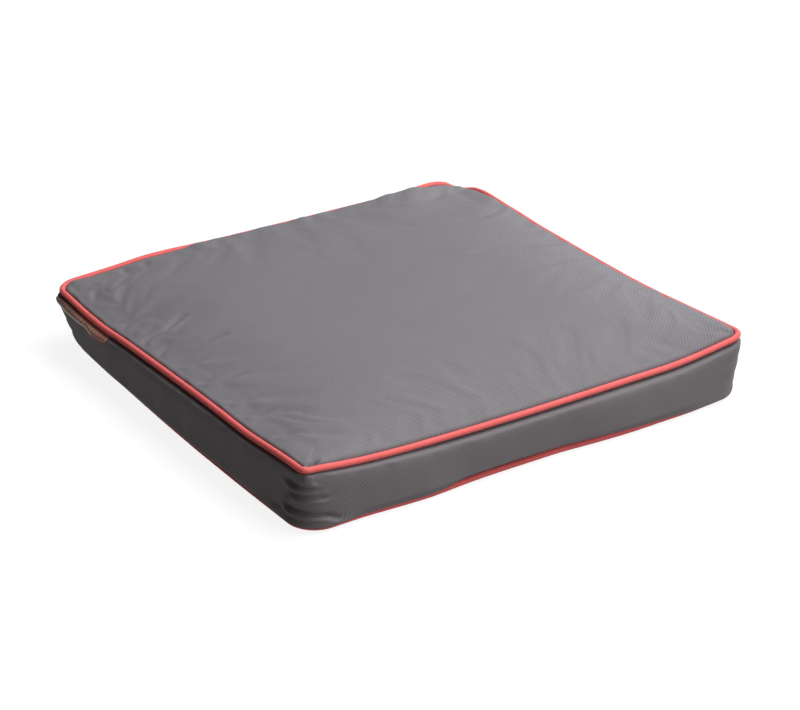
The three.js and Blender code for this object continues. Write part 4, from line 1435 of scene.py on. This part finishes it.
def foam_material():
    """Yellowish open cells."""
    g = material_graph("foam_open_cell")
    cells = g.out("ShaderNodeTexVoronoi", g.place(), feature="F1", output="Distance",
                  named={"Scale": 900.0})
    patches = g.noise(g.place(), scale=30.0, detail=3.0)
    col = g.mix(g.span(cells, over=(0.1, 0.6), to=(0.0, 1.0)), srgb(176, 160, 104),
                srgb(238, 226, 178))
    col = g.mix(patches * 0.2, col, srgb(222, 200, 140))
    return g.shade(col, 0.95, cells, depth=0.0003, strength=0.8, Specular_IOR_Level=0.2)


def wadding_material():
    """White fibres in soft lumps."""
    g = material_graph("wadding_fibre")
    fibres = g.noise(g.place(), scale=420.0, detail=5.0, rough=0.75)
    lumps = g.noise(g.place(), scale=34.0, detail=3.0)
    height = fibres + lumps * 1.5
    col = g.mix(g.span(fibres, over=(0.3, 0.7), to=(0.0, 1.0)), srgb(214, 214, 210),
                srgb(246, 246, 243))
    return g.shade(col, 0.85 + fibres * 0.1, height, depth=0.0006, strength=0.8,
                   Sheen_Weight=0.5, Sheen_Roughness=0.6)


def label_material():
    """A woven ribbon: a brown ground with a small repeating block pattern, a pale selvedge, and
    painted shade towards its back end.
    """
    g = material_graph("label_woven")
    u, v = g.uv()
    edge = g.out("ShaderNodeAttribute", attribute_name="edge", output="Fac")
    warp_pitch, weft_pitch = 0.55, 0.5
    block_length, block_height, selvedge = 5.2, 3.6, 1.6
    warp = g.ripple(u * (math.pi / warp_pitch))
    weft = g.ripple(v * (math.pi / weft_pitch))
    height = warp * 0.5 + weft * 0.5
    block = (g.math("GREATER_THAN", g.fract(u / block_length), 0.45)
             * g.math("GREATER_THAN", g.fract(v / block_height), 0.5))
    col = g.mix(block * 0.7, srgb(206, 152, 132), srgb(138, 88, 76))
    col = g.mix(g.span(height, over=(0.2, 0.9), to=(0.35, 0.0)), col, srgb(120, 80, 70))
    # painted shade: darker towards the back end, standing in for the shadow on the ribbon's face
    # there
    col = g.mix(g.span(u, over=(44.0, 66.0), to=(0.0, 0.62)), col, srgb(74, 66, 64))
    col = g.mix(g.math("LESS_THAN", edge, selvedge), col, srgb(250, 240, 222))
    return g.shade(col, 0.6 + height * 0.15, height, depth=0.00012, strength=0.8,
                   Sheen_Weight=0.2, Specular_IOR_Level=0.35)


def tape_material():
    """A dark herringbone tape."""
    g = material_graph("zip_tape_weave")
    u, v = g.uv()
    row, rib_pitch = 1.6, 0.75
    zigzag = abs(g.fract(v / row) * row - row / 2)
    off_rib = g.triangle((u + zigzag) / rib_pitch)
    patches = g.noise(g.place(), scale=50.0)
    col = g.mix(1.0 - off_rib, srgb(46, 46, 50), srgb(92, 92, 98))
    col = g.mix(patches * 0.15, col, srgb(60, 60, 66))
    return g.shade(col, 0.7, 1.0 - off_rib, depth=0.00015, strength=0.7, Sheen_Weight=0.2)


def coil_material():
    """Dark, slightly uneven nylon."""
    g = material_graph("zip_coil_nylon")
    grain = g.noise(g.place(), scale=300.0, detail=3.0)
    col = g.mix(g.span(grain, over=(0.3, 0.7), to=(0.0, 1.0)), srgb(58, 58, 62),
                srgb(96, 96, 102))
    return g.shade(col, 0.3 + grain * 0.15, grain, depth=0.00004, strength=0.5,
                   Specular_IOR_Level=0.5)


def metal_material():
    """Plated die-cast metal, brighter and smoother along its worn edges."""
    g = material_graph("zip_metal_plated")
    pointiness = g.out("ShaderNodeNewGeometry", output="Pointiness")
    wear = g.span(pointiness, over=(0.5, 0.56), to=(0.0, 1.0))
    cast = g.noise(g.place(), scale=160.0, detail=4.0, rough=0.6)
    grain = g.noise(g.out("ShaderNodeMapping", g.place()), scale=700.0)
    col = g.mix(g.span(cast, over=(0.35, 0.65), to=(0.0, 1.0)), srgb(128, 128, 130),
                srgb(168, 168, 170))
    col = g.mix(wear * 0.7, col, srgb(222, 220, 214))
    rough = 0.26 + cast * 0.2 + wear * -0.08
    return g.shade(col, rough, cast + grain * 0.3, depth=0.00005, strength=0.4, Metallic=1.0)


MAT_TOP = cover_cloth("cover_cloth_top", base=srgb(134, 131, 135), groove=srgb(83, 81, 84),
                      mode="top", sheen=0.35, contrast=1.0)
MAT_SIDE = cover_cloth("cover_cloth_side", base=srgb(132, 128, 131), groove=srgb(82, 79, 81),
                       mode="side", sheen=0.3, contrast=0.7)
MAT_PIPE = piping_cloth("piping_cloth", base=srgb(248, 116, 113), dark=srgb(214, 82, 80))
MAT_CORD = twist_material("cord_cotton", base=srgb(238, 232, 218), dark=srgb(190, 182, 164),
                          pitch=0.9)
MAT_THREAD = twist_material("thread_polyester", base=srgb(120, 118, 120), dark=srgb(70, 69, 72),
                            pitch=0.4)
MAT_FOAM, MAT_WADDING = foam_material(), wadding_material()
MAT_LABEL, MAT_TAPE = label_material(), tape_material()
MAT_COIL, MAT_METAL = coil_material(), metal_material()


# ---------------------------------------------------------------- put it together
def dress(o, node, material):
    o.data.materials.clear()
    o.data.materials.append(material)
    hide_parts(node)
    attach(o, "cover")
    return o


top_panel, top_points = make_top_panel()
dress(top_panel, "top_panel", MAT_TOP)
dress(make_bottom_panel(), "bottom_panel", MAT_SIDE)
dress(make_border_band(), "border_band", MAT_SIDE)
for sign, name in HALF_NAME.items():
    dress(make_zip_strip(sign), "zip_border_" + name, MAT_SIDE)
for level in UP:
    dress(make_piping(level), level + "_piping_cover", MAT_PIPE)
    dress(make_cord(level), level + "_piping_cord", MAT_CORD)
    dress(make_seam_thread(level), level + "_seam_thread", MAT_THREAD)
for sign, name in HALF_NAME.items():
    dress(make_zip_stitches(sign), "zip_stitch_" + name, MAT_THREAD)
dress(make_foam(), "foam_core", MAT_FOAM)
dress(make_wadding_top(top_points), "wadding_top", MAT_WADDING)
dress(make_wadding_bottom(), "wadding_bottom", MAT_WADDING)
dress(make_label(), "side_label", MAT_LABEL)
for sign, name in HALF_NAME.items():
    dress(make_tape(sign), "zip_tape_" + name, MAT_TAPE)
    coil = dress(make_coil(sign), "zip_chain_" + name, MAT_COIL)
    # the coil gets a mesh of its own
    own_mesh(coil)

# the rigid parts keep their CAD shapes: softened edges and a real finish
for name in ("zip_slider", "zip_pull_tab", "zip_bottom_stop", "zip_top_stop_upper",
             "zip_top_stop_lower"):
    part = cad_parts[name]
    md = part.modifiers.new("worn edges", "BEVEL")
    md.width = 0.16 * MM
    md.segments = 2
    md.limit_method = "ANGLE"
    md.angle_limit = math.radians(35)
    part.data.materials.clear()
    part.data.materials.append(MAT_METAL)


# ---------------------------------------------------------------- lights, in metres and watts
def area_light(name, at, to, size, power, color):
    light = bpy.data.lights.new(name, "AREA")
    light.shape = "SQUARE"
    light.size = size
    light.energy = power
    light.color = color
    o = bpy.data.objects.new(name, light)
    bpy.context.scene.collection.objects.link(o)
    o.location = at
    o.rotation_euler = (Vector(to) - Vector(at)).to_track_quat("-Z", "Y").to_euler()


area_light("key", at=(0.75, -0.45, 2.0), to=(0, 0, 0.03), size=1.7, power=58.5,
           color=(1.0, 0.995, 1.0))
area_light("rim", at=(1.9, 1.3, 0.95), to=(0.1, 0, 0.05), size=0.9, power=16,
           color=(0.97, 0.98, 1.0))
area_light("fill", at=(1.25, -3.0, 1.7), to=(0, 0, 0.03), size=1.6, power=25,
           color=(1.0, 0.99, 0.99))
area_light("low fill", at=(0.9, -3.0, 0.45), to=(0, 0, 0.03), size=1.0, power=13,
           color=(1.0, 0.99, 0.99))


# ---------------------------------------------------------------- floor and world
def floor_material():
    """Near white to the camera, and a dim, faintly warm glow to everything else."""
    g = material_graph("floor_pale")

    def diffuse(color):
        return g.out("ShaderNodeBsdfDiffuse", color)

    def emission(color, strength):
        return g.out("ShaderNodeEmission", color, strength)

    white = (1, 1, 1, 1)
    to_camera = g.out("ShaderNodeLightPath", output="Is Camera Ray")
    grain = g.noise(g.place(), scale=3.0)
    pale = diffuse(g.mix(grain, (0.90, 0.90, 0.90, 1), (0.93, 0.93, 0.93, 1)))
    dim = g.out("ShaderNodeAddShader", diffuse((0.16, 0.15, 0.15, 1)),
                emission((1, 0.94, 0.93, 1), strength=0.215))
    glow = emission(white, strength=0.72)
    glow_share = 0.8
    seen = g.out("ShaderNodeAddShader", g.out("ShaderNodeMixShader", glow_share, pale, glow),
                 emission(white, strength=0.3))
    return g.surface("ShaderNodeOutputMaterial",
                     g.out("ShaderNodeMixShader", to_camera, dim, seen))


def make_world():
    """White behind the pad, and a weak warm light on it."""
    world = bpy.data.worlds.new("studio")
    bpy.context.scene.world = world
    g = Graph(world)

    def background(color, strength):
        return g.out("ShaderNodeBackground", color, strength)

    to_camera = g.out("ShaderNodeLightPath", output="Is Camera Ray")
    seen = background((1, 1, 1, 1), strength=1.0)
    light = background((1.0, 0.95, 0.95, 1), strength=0.045)
    g.surface("ShaderNodeOutputWorld", g.out("ShaderNodeMixShader", to_camera, light, seen))


bpy.ops.mesh.primitive_plane_add(size=30, location=(0, 0, -0.0004))
floor = bpy.context.object
floor.name = "floor"
floor.data.materials.append(floor_material())
make_world()


# ---------------------------------------------------------------- camera
def make_camera(azimuth, elevation, roll, distance):
    """Looks at the middle of the pad, at the lower piping's height. Angles in degrees, the
    distance in metres."""
    camera = bpy.data.cameras.new("camera")
    o = bpy.data.objects.new("camera", camera)
    bpy.context.scene.collection.objects.link(o)
    camera.sensor_width = 36.0
    camera.lens = 116.9
    camera.shift_x = 0.0089
    camera.shift_y = 0.01249
    camera.clip_start = 0.05
    az, el, turn = math.radians(azimuth), math.radians(elevation), math.radians(roll)
    back = Vector((math.sin(az) * math.cos(el), -math.cos(az) * math.cos(el), math.sin(el)))
    level = Vector((math.cos(az), math.sin(az), 0))
    upright = back.cross(level)
    right = level * math.cos(turn) + upright * math.sin(turn)
    up = upright * math.cos(turn) - level * math.sin(turn)
    o.matrix_world = Matrix((
        (right.x, up.x, back.x, back.x * distance),
        (right.y, up.y, back.y, back.y * distance),
        (right.z, up.z, back.z, back.z * distance + Z_LOW * MM),
        (0, 0, 0, 1)))
    return o


bpy.context.scene.camera = make_camera(azimuth=-33.25, elevation=26.03, roll=-0.37,
                                       distance=2.3245)
bpy.context.scene.view_settings.view_transform = "Standard"
bpy.context.scene.view_settings.look = "None"
